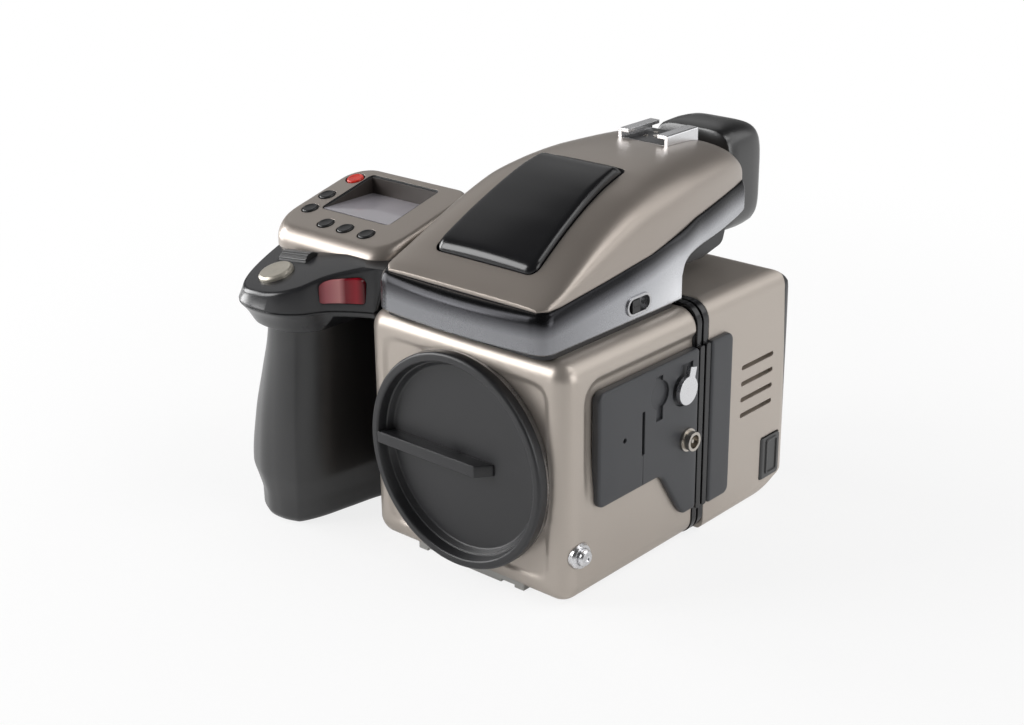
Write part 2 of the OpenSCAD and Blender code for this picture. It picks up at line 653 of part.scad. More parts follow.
module wheel_well(w) {
  rod_x(-w / 2 - gap, w / 2 + gap, 0, -1.8, wheel_r + gap);
  span([-w / 2 - gap, w / 2 + gap], [-wheel_r - gap, wheel_r + gap], [-1.8, 8]);
  rod_x(-w / 2 - 2, w / 2 + 2, 0, -1.8, 1.1 + fit);
}
module grip_collar() {
  color([0.23, 0.24, 0.25]) at_grip()
    difference() {
      collar_solid();
      window_zone();
      at_collar(shutter_place.x, shutter_place.y) translate([0, 0, -4]) cylinder(r = shutter_r + fit, h = 10);
      at_collar(wheel_place.x, wheel_place.y) wheel_well(14);
      translate(rear_wheel_place) rotate([-90, 0, 0]) wheel_well(14);
      intersection() {
        housing_shape();
        span([-110, -30], [-40, 40], [seat_z, 130]);
      }
    }
}
module assist_window() {
  color([0.45, 0.08, 0.12]) at_grip() window_zone();
}
module shutter_button() {
  color([0.74, 0.71, 0.66]) at_grip()
    at_collar(shutter_place.x, shutter_place.y) translate([0, 0, -2.4])
      rotate_extrude() polygon([[0, 0], [shutter_r, 0], [shutter_r, 3.4], [shutter_r - 0.7, 4.1],
                                [shutter_r / 2, 4.3], [0, 4]]);
}
module ribbed_wheel(w) {
  difference() {
    union() {
      rod_x(-w / 2, w / 2, 0, 0, wheel_r);
      rod_x(-w / 2 - 1.6, w / 2 + 1.6, 0, 0, 1.1);
    }
    for (i = [0 : wheel_ribs - 1])
      rotate([i * 360 / wheel_ribs, 0, 0]) rod_x(-w / 2 - 0.1, w / 2 + 0.1, 0, wheel_r + 0.1, 0.36);
  }
}
module front_wheel() {
  color([0.12, 0.12, 0.12]) at_grip()
    at_collar(wheel_place.x, wheel_place.y) translate([0, 0, -1.8]) ribbed_wheel(14);
}
module rear_wheel() {
  color([0.12, 0.12, 0.12]) at_grip()
    translate(rear_wheel_place) rotate([-90, 0, 0]) translate([0, 0, -1.8]) ribbed_wheel(14);
}

// Display housing on the collar, tipped towards the front
module housing_shape() {
  intersection() {
    along_x(-110, -30) polygon(rounded([[-26.5, 80], [-26.5, 99.8], [21, 111.7], [22, 80]], [0, 5, 7, 0]));
    along_y(-40, 40) polygon(rounded([[-103, 80], [-103, 112], [-47, 112], [-45.5, 80]], [0, 6, 6, 0]));
    linear_extrude(130) rrect(-103, -46, -26.5, 21.5, [12, 9, 9, 14]);
  }
}
module display_housing() {
  color([0.58, 0.54, 0.50]) at_grip()
    difference() {
      housing_shape();
      span([-120, -20], [-60, 60], [70, seat_z]);
      span([-93, -60], [-9, 16], [103.6, 120]);
      at_display(power_place.x, power_place.y) translate([0, 0, -4]) cylinder(r = key_r + 0.3 + fit, h = 8);
      for (q = key_places) at_display(q.x, q.y) translate([0, 0, -4]) cylinder(r = key_r + fit, h = 8);
    }
}
module display_screen() {
  color([0.63, 0.61, 0.63]) at_grip() span([-93, -60], [-9, 16], [103.6, 104]);
}
module push_key(r) {
  translate([0, 0, -2.6])
    rotate_extrude() polygon([[0, 0], [r, 0], [r, 3], [r - 0.5, 3.6], [r * 0.4, 3.6], [0, 3.4]]);
}
module power_button() {
  color([0.78, 0.20, 0.14]) at_grip() at_display(power_place.x, power_place.y) push_key(key_r + 0.3);
}
module key(i) {
  color([0.11, 0.11, 0.12]) at_grip() at_display(key_places[i].x, key_places[i].y) push_key(key_r);
}
module key_1() { key(0); }
module key_2() { key(1); }
module key_3() { key(2); }
module key_4() { key(3); }
module key_5() { key(4); }

// Black double frame between the body and the digital back
module frame_outline(d)
  rrect(-hw + d, hw - d, base_clear + d, body_h + 1 - d, [corner_r, corner_r, shoulder_r, shoulder_r]);
module back_frame() {
  color([0.12, 0.12, 0.13])
    difference() {
      union() {
        along_y(seam_y, back_y) frame_outline(1);
        along_y(seam_y + 0.6, seam_y + 3) frame_outline(-0.2);
        along_y(seam_y + 4.2, back_y - 0.6) frame_outline(-0.2);
        for (y = [seam_y + 0.6, seam_y + 4.2])
          along_x(hw - 1, panel_x - 0.3) rrect(y, y + 2.4, strip_z0 + 0.5, panel_z1, [0.8, 0.8, 0.8, 0.8]);
      }
      span([-27, 27], [seam_y - 1, back_y + 1], [lens_z - 20, lens_z + 20]);
    }
}

// Digital back: shell, rear cover, screen and keys
rear_z = 13;
rear_rake = 4.5;
module back_side() polygon(rounded([[back_y, 0], [rear_y - 23, 0], [rear_y - 1, 8], [rear_y, rear_z],
                                    [rear_y - rear_rake, back_h - 8], [rear_y - 7, back_h], [back_y, back_h]],
                                   [1, 14, 5, 6, 0, 9, 1.5]));
module back_solid() {
  intersection() {
    along_x(-hw, hw) back_side();
    along_y(back_y, rear_y + 1) rrect(-hw, hw, 0, back_h, [4, 4, shoulder_r, shoulder_r]);
    translate([0, 0, -1]) linear_extrude(back_h + 2) rrect(-hw, hw, back_y, rear_y, [0, 0, 7, 7]);
  }
}
cover_y = rear_y - 3;
port_y = rear_y - 19;
port_w = 12;
port_z = [6.6, 23.5];
flap_r = 1.2;
module cover_cut() along_x(-hw - 1, hw + 1)
  polygon([[cover_y, -1], [cover_y, rear_z], [cover_y - rear_rake, back_h - 8],
           [cover_y - rear_rake, back_h + 1], [rear_y + 5, back_h + 1], [rear_y + 5, -1]]);
lean_slope = rear_rake / (back_h - 8 - rear_z);
lean = atan(lean_slope);
module at_rear(x, z)
  translate([x, rear_y - lean_slope * (z - rear_z), z]) rotate([lean - 90, 0, 0]) children();
vent_pitch = 6.1;
module back_shell() {
  color([0.60, 0.56, 0.52])
    difference() {
      back_solid();
      cover_cut();
      for (i = [0 : vent_n - 1])
        translate([0, back_y + 31, 37 + i * vent_pitch]) along_x(hw - 3, hw + 1) stadium(20, vent_h);
      along_x(hw - 1, hw + 1) rrect(back_y - 1, back_y + 12.5, strip_z0, panel_z1 + 0.1, [0, 3, 3, 0]);
      along_x(hw - 3, hw + 1) rrect(port_y, port_y + port_w, port_z[0], port_z[1], [1, 1, 1, 1]);
      along_x(hw - 7, hw - 2) rrect(port_y + 3, port_y + 9, 9, 21, [1, 1, 1, 1]);
    }
}
module back_panel() {
  color([0.35, 0.35, 0.36])
    along_x(hw - 1, panel_x) rrect(back_y, back_y + 12.5, strip_z0, panel_z1 + 0.1, [0, 3, 3, 0]);
}
module image_sensor() {
  color([0.20, 0.28, 0.26]) span([-25, 25], [back_y - 4, back_y], [lens_z - 18.5, lens_z + 18.5]);
}
menu_places = [-21, -9, 9, 21];
module rear_cover() {
  color([0.14, 0.14, 0.15])
    difference() {
      intersection() {
        back_solid();
        cover_cut();
      }
      at_rear(0, 52) translate([-screen_w / 2, -18, -1]) cube([screen_w, 36, 4]);
      at_rear(0, 22) translate([0, 0, -2]) cylinder(r = 6 + fit, h = 6);
      for (x = menu_places) at_rear(x, 29) translate([0, 0, -2]) cylinder(r = 2.6 + fit, h = 6);
    }
}
module rear_screen() {
  color([0.08, 0.09, 0.11]) at_rear(0, 52) translate([-screen_w / 2, -18, -1]) cube([screen_w, 36, 0.8]);
}
module nav_pad() {
  color([0.20, 0.20, 0.21]) at_rear(0, 22) translate([0, 0, -1]) cylinder(r = 6, h = 2.2);
}
module menu_key(i) {
  color([0.20, 0.20, 0.21]) at_rear(menu_places[i], 29) translate([0, 0, -1]) cylinder(r = 2.6, h = 1.8);
}
module menu_1() { menu_key(0); }
module menu_2() { menu_key(1); }
module menu_3() { menu_key(2); }
module menu_4() { menu_key(3); }

// Rubber flap over the data port
module port_cover() {
  low = port_z[0] + gap;
  high = port_z[1] - gap;
  near = port_y + gap;
  far = port_y + port_w - gap;
  color([0.10, 0.10, 0.10]) {
    difference() {
      along_x(hw - 2.4, hw + 0.6) rrect(near, far, low, high, [0, 1.5, 1.5, 0]);
      difference() {
        span([hw + 0.6 - flap_r, hw + 1], [near - 1, near + flap_r], [low - 1, high + 1]);
        translate([hw + 0.6 - flap_r, near + flap_r, low - 2]) cylinder(r = flap_r, h = high - low + 4);
      }
    }
    difference() {
      along_x(hw, hw + 1) rrect(near + 3, far - 1.2, low + 1.2, high - 1.2, [1.2, 1.2, 1.2, 1.2]);
      along_x(hw + 0.6, hw + 2) rrect(near + 3.8, far - 2, low + 2, high - 2, [0.6, 0.6, 0.6, 0.6]);
    }
  }
}
module port_socket() {
  color([0.55, 0.55, 0.56])
    difference() {
      along_x(hw - 7, hw - 3) rrect(port_y + 3, port_y + 9, 9, 21, [1, 1, 1, 1]);
      along_x(hw - 6, hw - 2) rrect(port_y + 4, port_y + 8, 10, 20, [0.5, 0.5, 0.5, 0.5]);
    }
}

body_shell();
base_plate();
lens_mount();
body_cap();
release_collar();
lens_release();
focusing_screen();
mirror_pin();
reflex_mirror();
side_panel();
strap_lug();
sync_socket();
finder_gasket();
finder_core();
finder_front();
finder_side_right();
finder_side_left();
finder_hood();
flash_head();
flash_window();
flash_pin();
catch_bezel();
flash_catch();
hot_shoe();
shoe_contacts();
eyepiece_housing();
eyepiece_lens();
eyecup();
grip_handle();
grip_collar();
assist_window();
shutter_button();
front_wheel();
rear_wheel();
display_housing();
display_screen();
power_button();
key_1();
key_2();
key_3();
key_4();
key_5();
back_frame();
back_shell();
back_panel();
image_sensor();
rear_cover();
rear_screen();
nav_pad();
menu_1();
menu_2();
menu_3();
menu_4();
port_cover();
port_socket();
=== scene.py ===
# %% [markdown]
# A medium format digital camera, dressed piece by piece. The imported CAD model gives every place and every
# joint. This script adds the viewpoint, the finishes, the moulded skins that a viewer looks at, and the
# studio. The skins could be sculpted by hand, but surfaces worked out from named sizes can be read and
# changed.

# %% Load the frame
import json

import bmesh
import bpy
import numpy as np
from mathutils import Matrix


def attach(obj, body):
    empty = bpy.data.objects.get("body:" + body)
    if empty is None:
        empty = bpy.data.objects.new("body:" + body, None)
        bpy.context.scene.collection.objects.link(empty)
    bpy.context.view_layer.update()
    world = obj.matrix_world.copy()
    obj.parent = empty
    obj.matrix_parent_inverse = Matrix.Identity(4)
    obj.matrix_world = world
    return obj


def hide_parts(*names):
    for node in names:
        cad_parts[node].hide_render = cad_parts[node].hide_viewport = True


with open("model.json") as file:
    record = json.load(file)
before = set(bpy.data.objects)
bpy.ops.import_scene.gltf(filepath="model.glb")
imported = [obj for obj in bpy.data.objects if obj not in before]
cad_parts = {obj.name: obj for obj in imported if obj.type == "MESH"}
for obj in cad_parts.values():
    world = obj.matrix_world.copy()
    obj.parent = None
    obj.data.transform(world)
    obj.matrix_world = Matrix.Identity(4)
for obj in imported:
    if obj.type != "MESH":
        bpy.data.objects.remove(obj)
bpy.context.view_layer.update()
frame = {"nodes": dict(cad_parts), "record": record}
MM = 0.001

# %% [markdown]
# The photograph was taken from the right and from above, with a moderate tele lens. A viewpoint could be
# set by eye, but the angles below were solved from the cap's circle and the straight edges, so the model
# falls on the photograph. The focal length is known in pixels of a picture 1024 wide, and Blender wants
# it in millimetres on a sensor 36 mm wide.

# %% Camera at the photograph's viewing angle
TARGET = np.array((0.0, 5.0, 62.0)) * MM
AZIMUTH, ELEVATION, TILT = np.radians((41.4697, 21.6986, -0.6498))
SHIFT_RIGHT, SHIFT_UP, DISTANCE = np.array((11.5189, -1.0718, 589.357)) * MM
FOCAL_PIXELS, PICTURE_WIDTH, SENSOR = 1718.32, 1024, 36.0


def new_object(name, data):
    """Object with this data, linked to the scene."""
    obj = bpy.data.objects.new(name, data)
    bpy.context.scene.collection.objects.link(obj)
    return obj


def placed(right, up, back, spot):
    """Matrix of an object at spot whose own X, Y and Z point right, up and back."""
    pose = np.eye(4)
    pose[:3] = np.stack((right, up, back, spot), 1)
    return Matrix(pose.tolist())


ahead = np.cos(ELEVATION)
back = np.array((np.sin(AZIMUTH) * ahead, -np.cos(AZIMUTH) * ahead, np.sin(ELEVATION)))
right = np.array((np.cos(AZIMUTH), np.sin(AZIMUTH), 0.0))
up = np.cross(back, right)
tilted_right = right * np.cos(TILT) + up * np.sin(TILT)
tilted_up = up * np.cos(TILT) - right * np.sin(TILT)
spot = TARGET + back * DISTANCE - tilted_right * SHIFT_RIGHT - tilted_up * SHIFT_UP

lens = bpy.data.cameras.new("viewpoint")
lens.sensor_width = SENSOR
lens.lens = FOCAL_PIXELS * SENSOR / PICTURE_WIDTH
lens.clip_start, lens.clip_end = 0.01, 50.0
viewpoint = new_object("viewpoint", lens)
viewpoint.matrix_world = placed(tilted_right, tilted_up, back, spot)
bpy.context.scene.camera = viewpoint
print("camera at", [round(float(v), 3) for v in spot], "lens", round(lens.lens, 1), "mm")

# %% [markdown]
# Finishes are node trees. They could be wired by hand in the shader editor, but shader maths reads best
# as plain arithmetic. Wire wraps one output socket, and each operator adds a Math node behind the scenes.
# Graph wraps a node tree, and add() makes any node in it.

# %% Sockets that take arithmetic


class Wire:
    """An output socket. Arithmetic with numbers or other wires adds Math nodes."""

    def __init__(self, graph, socket):
        self.graph, self.socket = graph, socket

    def maths(self, operation, a, b):
        return self.graph.add("ShaderNodeMath", {"operation": operation}, {0: a, 1: b})

    def __add__(self, other):
        return self.maths("ADD", self, other)

    def __sub__(self, other):
        return self.maths("SUBTRACT", self, other)

    def __rsub__(self, other):
        return self.maths("SUBTRACT", other, self)

    def __mul__(self, other):
        return self.maths("MULTIPLY", self, other)

    __radd__, __rmul__ = __add__, __mul__


class Graph:
    """A node tree that grows by add()."""

    def __init__(self, tree):
        self.tree = tree

    def add(self, kind, settings, inputs, output=0):
        """Makes a node of this kind, sets it, fills its sockets and returns one output as a Wire."""
        node = self.tree.nodes.new(kind)
        for key, value in settings.items():
            if key == "stops":
                for at, colour in value[1:-1]:
                    node.color_ramp.elements.new(at)
                for stop, (at, colour) in zip(node.color_ramp.elements, value):
                    stop.position, stop.color = at, colour
            else:
                setattr(node, key, value)
        for key, value in inputs.items():
            if isinstance(value, Wire):
                self.tree.links.new(value.socket, node.inputs[key])
            else:
                node.inputs[key].default_value = value
        return Wire(self, node.outputs[output])

    def part(self, vector, axis):
        """The X, Y or Z of a vector."""
        return self.add("ShaderNodeSeparateXYZ", {}, {0: vector}, axis)

    def ray(self, kind):
        """1 for rays of this kind, such as Is Camera Ray, and 0 for others."""
        return self.add("ShaderNodeLightPath", {}, {}, kind)

    def ramp(self, value, *stops):
        """Colour at a value between 0 and 1, along stops (place, colour)."""
        return self.add("ShaderNodeValToRGB", {"stops": stops}, {0: value})

    def ease(self, value, span, ends=(0.0, 1.0), curve="SMOOTHSTEP"):
        """Goes from the first end to the second while the value runs over the span."""
        return self.add("ShaderNodeMapRange", {"interpolation_type": curve}, {
            "Value": value, "From Min": span[0], "From Max": span[1], "To Min": ends[0], "To Max": ends[1]})


print("Wire and Graph are ready")

# %% [markdown]
# A Finish is the Graph of one material. feed() links what varies over the surface, and constants go
# straight onto the shader's own sockets, where other programs find them too. Colours are written as a
# display shows them, 0 to 255, and turned into linear light.

# %% A material as a graph


class Finish(Graph):
    """One material with a Principled shader, and the nodes that feed it."""

    def __init__(self, name, sockets):
        self.material = bpy.data.materials.new(name)
        self.material.use_nodes = True
        super().__init__(self.material.node_tree)
        self.shader = self.tree.nodes["Principled BSDF"]
        for socket, value in sockets.items():
            self.shader.inputs[socket].default_value = value
        self.place = self.add("ShaderNodeTexCoord", {}, {}, "Object")

    def feed(self, socket, wire):
        self.tree.links.new(wire.socket, self.shader.inputs[socket])

    def noise(self, scale, detail=2.0):
        """Noise with about this many cells to a metre."""
        return self.add("ShaderNodeTexNoise", {}, {"Vector": self.place, "Scale": scale, "Detail": detail})

    def blend(self, factor, colour_a, colour_b):
        """Colour that goes from a to b with the factor."""
        return self.add("ShaderNodeMix", {"data_type": "RGBA"}, {0: factor, 6: colour_a, 7: colour_b}, 2)


def linear(red, green, blue):
    """Colour of a display as linear light with full alpha: c / 12.92 near black, else a power of 2.4."""
    c = np.array((red, green, blue)) / 255
    return (*np.where(c <= 0.04045, c / 12.92, ((c + 0.055) / 1.055) ** 2.4), 1.0)


print("middle grey in linear light", [round(float(v), 3) for v in linear(128, 128, 128)])

# %% [markdown]
# The camera is painted metal, moulded plastic, rubber and bare metal. Each could have a material of its
# own making, but they are one recipe with different numbers: a colour that drifts a little, a roughness
# that carries faint handling marks, a grain you can feel, and edges that are never razor sharp. The grain
# is a Bump, and a Bevel node behind it rounds what light sees of each edge.

# %% One recipe for paint, plastic, rubber and metal


def finish(name, colour, rough, metal, drift, grain, height, edge, sockets=None, marks=0.06):
    """The colour drifts by a share, rough varies by marks, grain cells to a metre stand height mm high, and
    edges look rounded to edge mm. The sockets hold constants."""
    made = Finish(name, {"Metallic": metal, **(sockets or {})})
    fine = made.noise(grain)
    broad = made.noise(38, 3.0)
    tint = np.array(linear(*colour))
    dark, pale = (tuple(np.minimum(1.0, tint * (k, k, k, 1))) for k in (1 - drift, 1 + drift))
    made.feed("Base Color", made.blend(fine * 0.65 + broad * 0.35, dark, pale))
    made.feed("Roughness", (broad - 0.5) * (2 * marks) + ((fine - 0.5) * marks + rough))
    rounded_edge = made.add("ShaderNodeBevel", {"samples": 4}, {"Radius": edge * MM}, "Normal")
    made.feed("Normal", made.add("ShaderNodeBump", {}, {
        "Strength": 1.0, "Distance": height * MM, "Height": fine, "Normal": rounded_edge}, "Normal"))
    return made


LACQUER = {"Coat Weight": 0.15, "Coat Roughness": 0.25}
RECIPES = {  # colour, roughness, metal, drift, grain, its height, edge, and constants
    "taupe_paint": ((184, 175, 166), 0.40, 0.7, 0.07, 5200, 0.004, 0.6, LACQUER),
    "hood_paint": ((164, 155, 147), 0.38, 0.7, 0.07, 5200, 0.004, 0.5, LACQUER),
    "silver": ((186, 187, 191), 0.30, 0.95, 0.05, 3800, 0.006, 0.3, {}, 0.08),
    "black_gloss": ((22, 22, 24), 0.20, 0.0, 0.05, 900, 0.002, 0.5),
    "black_satin": ((32, 32, 34), 0.36, 0.0, 0.08, 3000, 0.015, 0.4),
    "cap_plastic": ((38, 38, 40), 0.38, 0.0, 0.10, 3600, 0.012, 0.4),
    "panel_grey": ((62, 63, 66), 0.42, 0.15, 0.12, 4200, 0.020, 0.5),
    "collar_grey": ((36, 36, 38), 0.24, 0.0, 0.08, 4200, 0.006, 0.5),
    "grip_rubber": ((15, 15, 17), 0.34, 0.0, 0.10, 1500, 0.018, 0.8, {"Specular IOR Level": 0.85}),
    "soft_rubber": ((20, 20, 21), 0.30, 0.0, 0.08, 2400, 0.012, 0.6, {"Specular IOR Level": 0.9}),
    "bright_metal": ((220, 220, 222), 0.27, 1.0, 0.03, 2000, 0.003, 0.3),
    "steel": ((190, 190, 192), 0.28, 1.0, 0.05, 3000, 0.004, 0.25),
    "warm_metal": ((188, 182, 174), 0.26, 1.0, 0.05, 3000, 0.003, 0.25),
    "plate_alloy": ((176, 175, 172), 0.34, 0.9, 0.05, 3000, 0.004, 0.3),
    "display_grey": ((158, 154, 160), 0.22, 0.0, 0.03, 700, 0.001, 0.2,
                     {"Coat Weight": 0.6, "Coat Roughness": 0.05}),
    "screen_dark": ((5, 5, 7), 0.08, 0.0, 0.05, 700, 0.001, 0.2),
    "sensor": ((60, 84, 80), 0.10, 0.3, 0.08, 6000, 0.001, 0.2),
    "window_red": ((96, 8, 18), 0.10, 0.0, 0.15, 600, 0.001, 0.3,
                   {"Coat Weight": 1.0, "Coat Roughness": 0.04}),
    "power_red": ((206, 48, 34), 0.28, 0.0, 0.05, 3000, 0.004, 0.4),
    "button_champagne": ((190, 184, 172), 0.34, 0.6, 0.05, 5200, 0.004, 0.4),
    "key_black": ((30, 30, 31), 0.36, 0.0, 0.06, 3000, 0.006, 0.3),
    "mirror_glass": ((226, 228, 232), 0.03, 1.0, 0.01, 700, 0.0, 0.2),
    "screen_glass": ((214, 222, 230), 0.12, 0.0, 0.02, 900, 0.002, 0.2,
                     {"Transmission Weight": 0.85, "IOR": 1.49}),
    "lens_glass": ((190, 200, 215), 0.03, 0.0, 0.02, 700, 0.0, 0.2,
                   {"Transmission Weight": 0.9, "IOR": 1.52}),
}
FINISHES = {name: finish(name, *recipe) for name, recipe in RECIPES.items()}
print(len(FINISHES), "finishes")

# %% [markdown]
# Many pieces are right as the CAD gives them: frames, wheels, buttons, the mount. They could be rebuilt,
# but they only need a finish. The record names a slot for each, and their meshes are left alone.

# %% Each CAD node takes its slot's finish
SLOT_OF = {part["node"]: part["material_slot"] for part in frame["record"]["subparts"]}
for node, obj in frame["nodes"].items():
    obj.data.materials.clear()
    obj.data.materials.append(FINISHES[SLOT_OF[node]].material)
print(len(SLOT_OF), "nodes dressed")

# %% [markdown]
# The moulded pieces have soft, double-curved skins, which plain solids only suggest. They could be
# modelled with Blender's mesh tools, but here a skin is a grid of points worked out as whole arrays.
# quads() numbers the faces of a grid, and loft() closes a stack of rings with a fan at each end.

# %% Grids and lofts


def quads(rows, columns, wrap=False):
    """Corner numbers of the faces of a rows by columns grid, closed round the columns if wrap."""
    r, c = np.meshgrid(np.arange(rows - 1), np.arange(columns if wrap else columns - 1), indexing="ij")
    near, far = r * columns, (r + 1) * columns
    after = (c + 1) % columns
    return np.stack((near + c, near + after, far + after, far + c), -1).reshape(-1, 4)


def loft(rings, hub=None):
    """Points and faces of a closed solid through rings x points x 3, each end a fan round the ring's mean, or
    round the hub (x, y, lower z, upper z)."""
    m, n, _ = rings.shape
    ends = np.stack((rings[0].mean(0), rings[-1].mean(0)))
    if hub is not None:
        ends = np.array(((hub[0], hub[1], hub[2]), (hub[0], hub[1], hub[3])), float)
    points = np.concatenate((rings.reshape(-1, 3), ends))
    i = np.arange(n)
    j = (i + 1) % n
    low = np.stack((np.full(n, m * n), j, i), -1)
    high = np.stack((np.full(n, m * n + 1), (m - 1) * n + i, (m - 1) * n + j), -1)
    return points, quads(m, n, True).tolist() + low.tolist() + high.tolist()


print("grid of 3 by 4 has", len(quads(3, 4)), "faces")

# %% [markdown]
# add_piece() turns arrays in millimetres into an object and hands it to the body that carries it. Its
# place is in its mesh, so the object stays at the origin. Which way the faces point could be left to
# Blender's recalculation, but the sign of the enclosed volume tells it at once.

# %% From arrays to objects


def facing_out(points, faces):
    """The faces, turned round if the volume, the sum over triangles of a . (b x c) / 6, is negative."""
    tri = np.array([t for f in faces for t in ((f[0], f[k], f[k + 1]) for k in range(1, len(f) - 1))])
    a, b, c = (points[tri[:, k]] for k in range(3))
    return faces if (a * np.cross(b, c)).sum() >= 0 else [f[::-1] for f in faces]


def smooth_below(mesh, crease):
    """Shades a mesh smooth, and keeps edges sharp where faces meet at more than the crease angle."""
    mesh.shade_smooth()
    mesh.set_sharp_from_angle(angle=np.radians(crease))


def add_piece(name, points, faces, body, slot, stands_for=(), crease=32, paint=None):
    """Makes the object from points in mm, welds doubles and shades it. paint holds 0 or 1 for each face, and
    the finish of the faces with 1."""
    mesh = bpy.data.meshes.new(name)
    mesh.from_pydata((points * MM).tolist(), [], facing_out(points, faces))
    mesh.materials.append(FINISHES[slot].material)
    if paint:
        mesh.polygons.foreach_set("material_index", paint[0])
        mesh.materials.append(FINISHES[paint[1]].material)
    work = bmesh.new()
    work.from_mesh(mesh)
    bmesh.ops.remove_doubles(work, verts=work.verts, dist=2e-6)
    bmesh.ops.dissolve_degenerate(work, dist=1e-6, edges=work.edges)
    work.to_mesh(mesh)
    work.free()
    smooth_below(mesh, crease)
    obj = new_object(name, mesh)
    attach(obj, body)
    if stands_for:
        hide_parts(*stands_for)
    print(name, len(mesh.vertices), "points, stands for", stands_for or "nothing")
    return obj


print("CAD nodes that a piece can stand for:", len(frame["nodes"]))

# %% [markdown]
# The hood over the finder is one moulded surface: squared and broad at the front, high over the shoe and
# drawn in at the eyepiece. A subdivided box could be pulled into it, but its half width, foot and crown
# are easier to steer as smooth curves along the depth. Each section across is a squared-off ellipse on
# the finder's core.

# %% Sections of the hood
HOOD_LOW = [(-37, 100.3), (-8, 103.5), (16, 106.5), (44, 112.4), (70, 115), (90, 116.5)]
HOOD_TOP = [(-37, 101.5), (-34, 103.4), (-27, 107), (-18, 112.2), (-8, 117.6), (4, 123), (16, 127),
            (30, 129.7), (44, 130.4), (58, 130.2), (70, 129.7), (77, 128.6), (82, 125), (85, 119.5)]
HOOD_HALF = [(-37, 32), (-34, 34.8), (-27, 35.6), (16, 35.8), (30, 35.2), (44, 33.6), (58, 31.4), (70, 29.2),
             (77, 27.6), (82, 26), (85, 23.5)]


def through(x, table):
    """Smooth curve through the rows (x, value) of a table: cubic pieces whose slope at a knot is the harmonic
    mean of the slopes beside it, or level at a turn, so it never overshoots."""
    knots, values = np.asarray(table, float).T
    step = np.diff(knots)
    slope = np.diff(values) / step
    both = slope[:-1] * slope[1:]
    inner = np.where(both > 0, 2 * both / np.where(both > 0, slope[:-1] + slope[1:], 1), 0)
    m = np.concatenate((slope[:1], inner, slope[-1:]))
    x = np.clip(x, knots[0], knots[-1])
    i = np.clip(np.searchsorted(knots, x) - 1, 0, len(step) - 1)
    u = (x - knots[i]) / step[i]
    return ((1 + 2 * u) * (1 - u) ** 2 * values[i] + u * (1 - u) ** 2 * step[i] * m[i]
            + u**2 * (3 - 2 * u) * values[i + 1] + u**2 * (u - 1) * step[i] * m[i + 1])


def squareness(y):
    """Power n of the hood's section: 4.4 at the front, sliding to 3.6 behind the lid."""
    return 4.0 - 0.4 * np.tanh((y - 20) / 6)


def section(y, angle):
    """Points of the hood's section at depth y: |x/w|^n + |(z-z0)/h|^n = 1 by polar angle."""
    w, z0, n = through(y, HOOD_HALF), np.interp(y, *np.array(HOOD_LOW).T), squareness(y)
    h = through(y, HOOD_TOP) - z0
    c, s = np.cos(angle), np.sin(angle)
    r = (np.abs(c) ** n + np.abs(s) ** n) ** (-1 / n)
    return np.stack((w * r * c, y + 0 * angle, z0 + h * r * s), -1)


print("crown of the hood over the shoe:", round(float(through(60.0, HOOD_TOP)), 1), "mm")

# %% [markdown]
# The flash lid lies in a pocket of the hood. The pocket could be cut with a Boolean, but it follows the
# hood's own rows better when it is part of the grid: rows between the pocket's ends leave the ellipse at
# the pocket's edge and run across its floor instead.

# %% Hood with its pocket
LID_AXIS = (21.0, 125.0)
LID_R, LID_GAP, LID_RISE = 6.2, 0.5, 2.0
LID_FRONT, LID_REAR = -26, LID_AXIS[0] + LID_R
LID_FRONT_HALF, LID_FRONT_Z = 21.6, 103.5
FRONT_ARC, REAR_ARC = 3.6, 2.6


def lid_half(y):
    """Half width of the lid: it narrows evenly by 5.2 mm over a depth of 52 mm."""
    return LID_FRONT_HALF - 5.2 * (y - LID_FRONT) / 52


def lid_floor(y, r):
    """Underside of the lid: a slope up to the axis, then a circle of radius r round it."""
    slope = LID_FRONT_Z + (LID_AXIS[1] - LID_R - LID_FRONT_Z) * (y - LID_FRONT) / 47 - (r - LID_R) * 2
    bend = LID_AXIS[1] - np.sqrt(np.maximum(r**2 - (y - LID_AXIS[0]) ** 2, 0))
    return np.where(y <= LID_AXIS[0], np.minimum(slope, LID_AXIS[1] - r), bend)


def pocket_half(y):
    """Half width of the pocket: the lid's and a gap, drawn in by an arc at each end for the lid's corners."""
    near, far = y - (LID_FRONT - LID_GAP), LID_REAR + LID_GAP - y
    front, rear = FRONT_ARC - np.clip(near, 0, FRONT_ARC), REAR_ARC - np.clip(far, 0, REAR_ARC)
    drawn = FRONT_ARC - np.sqrt(FRONT_ARC**2 - front**2) + REAR_ARC - np.sqrt(REAR_ARC**2 - rear**2)
    return lid_half(y) + LID_GAP - drawn


first, last = LID_FRONT - LID_GAP, LID_REAR + LID_GAP
before = np.concatenate((np.linspace(-37, -33, 7), np.linspace(-32, first, 6)))
bend = 1 - np.cos(np.linspace(0, np.pi / 2, 9)[:-1])
within = np.concatenate((first + FRONT_ARC * bend, np.linspace(first + FRONT_ARC, last - REAR_ARC, 44),
                         last - REAR_ARC * bend[::-1]))
behind = np.concatenate((np.linspace(last, 74, 30), np.linspace(75, 85, 18)))
depth = np.concatenate((before, within, behind))[:, None]
pocket = np.repeat((False, True, False), (len(before), len(within), len(behind)))[:, None]

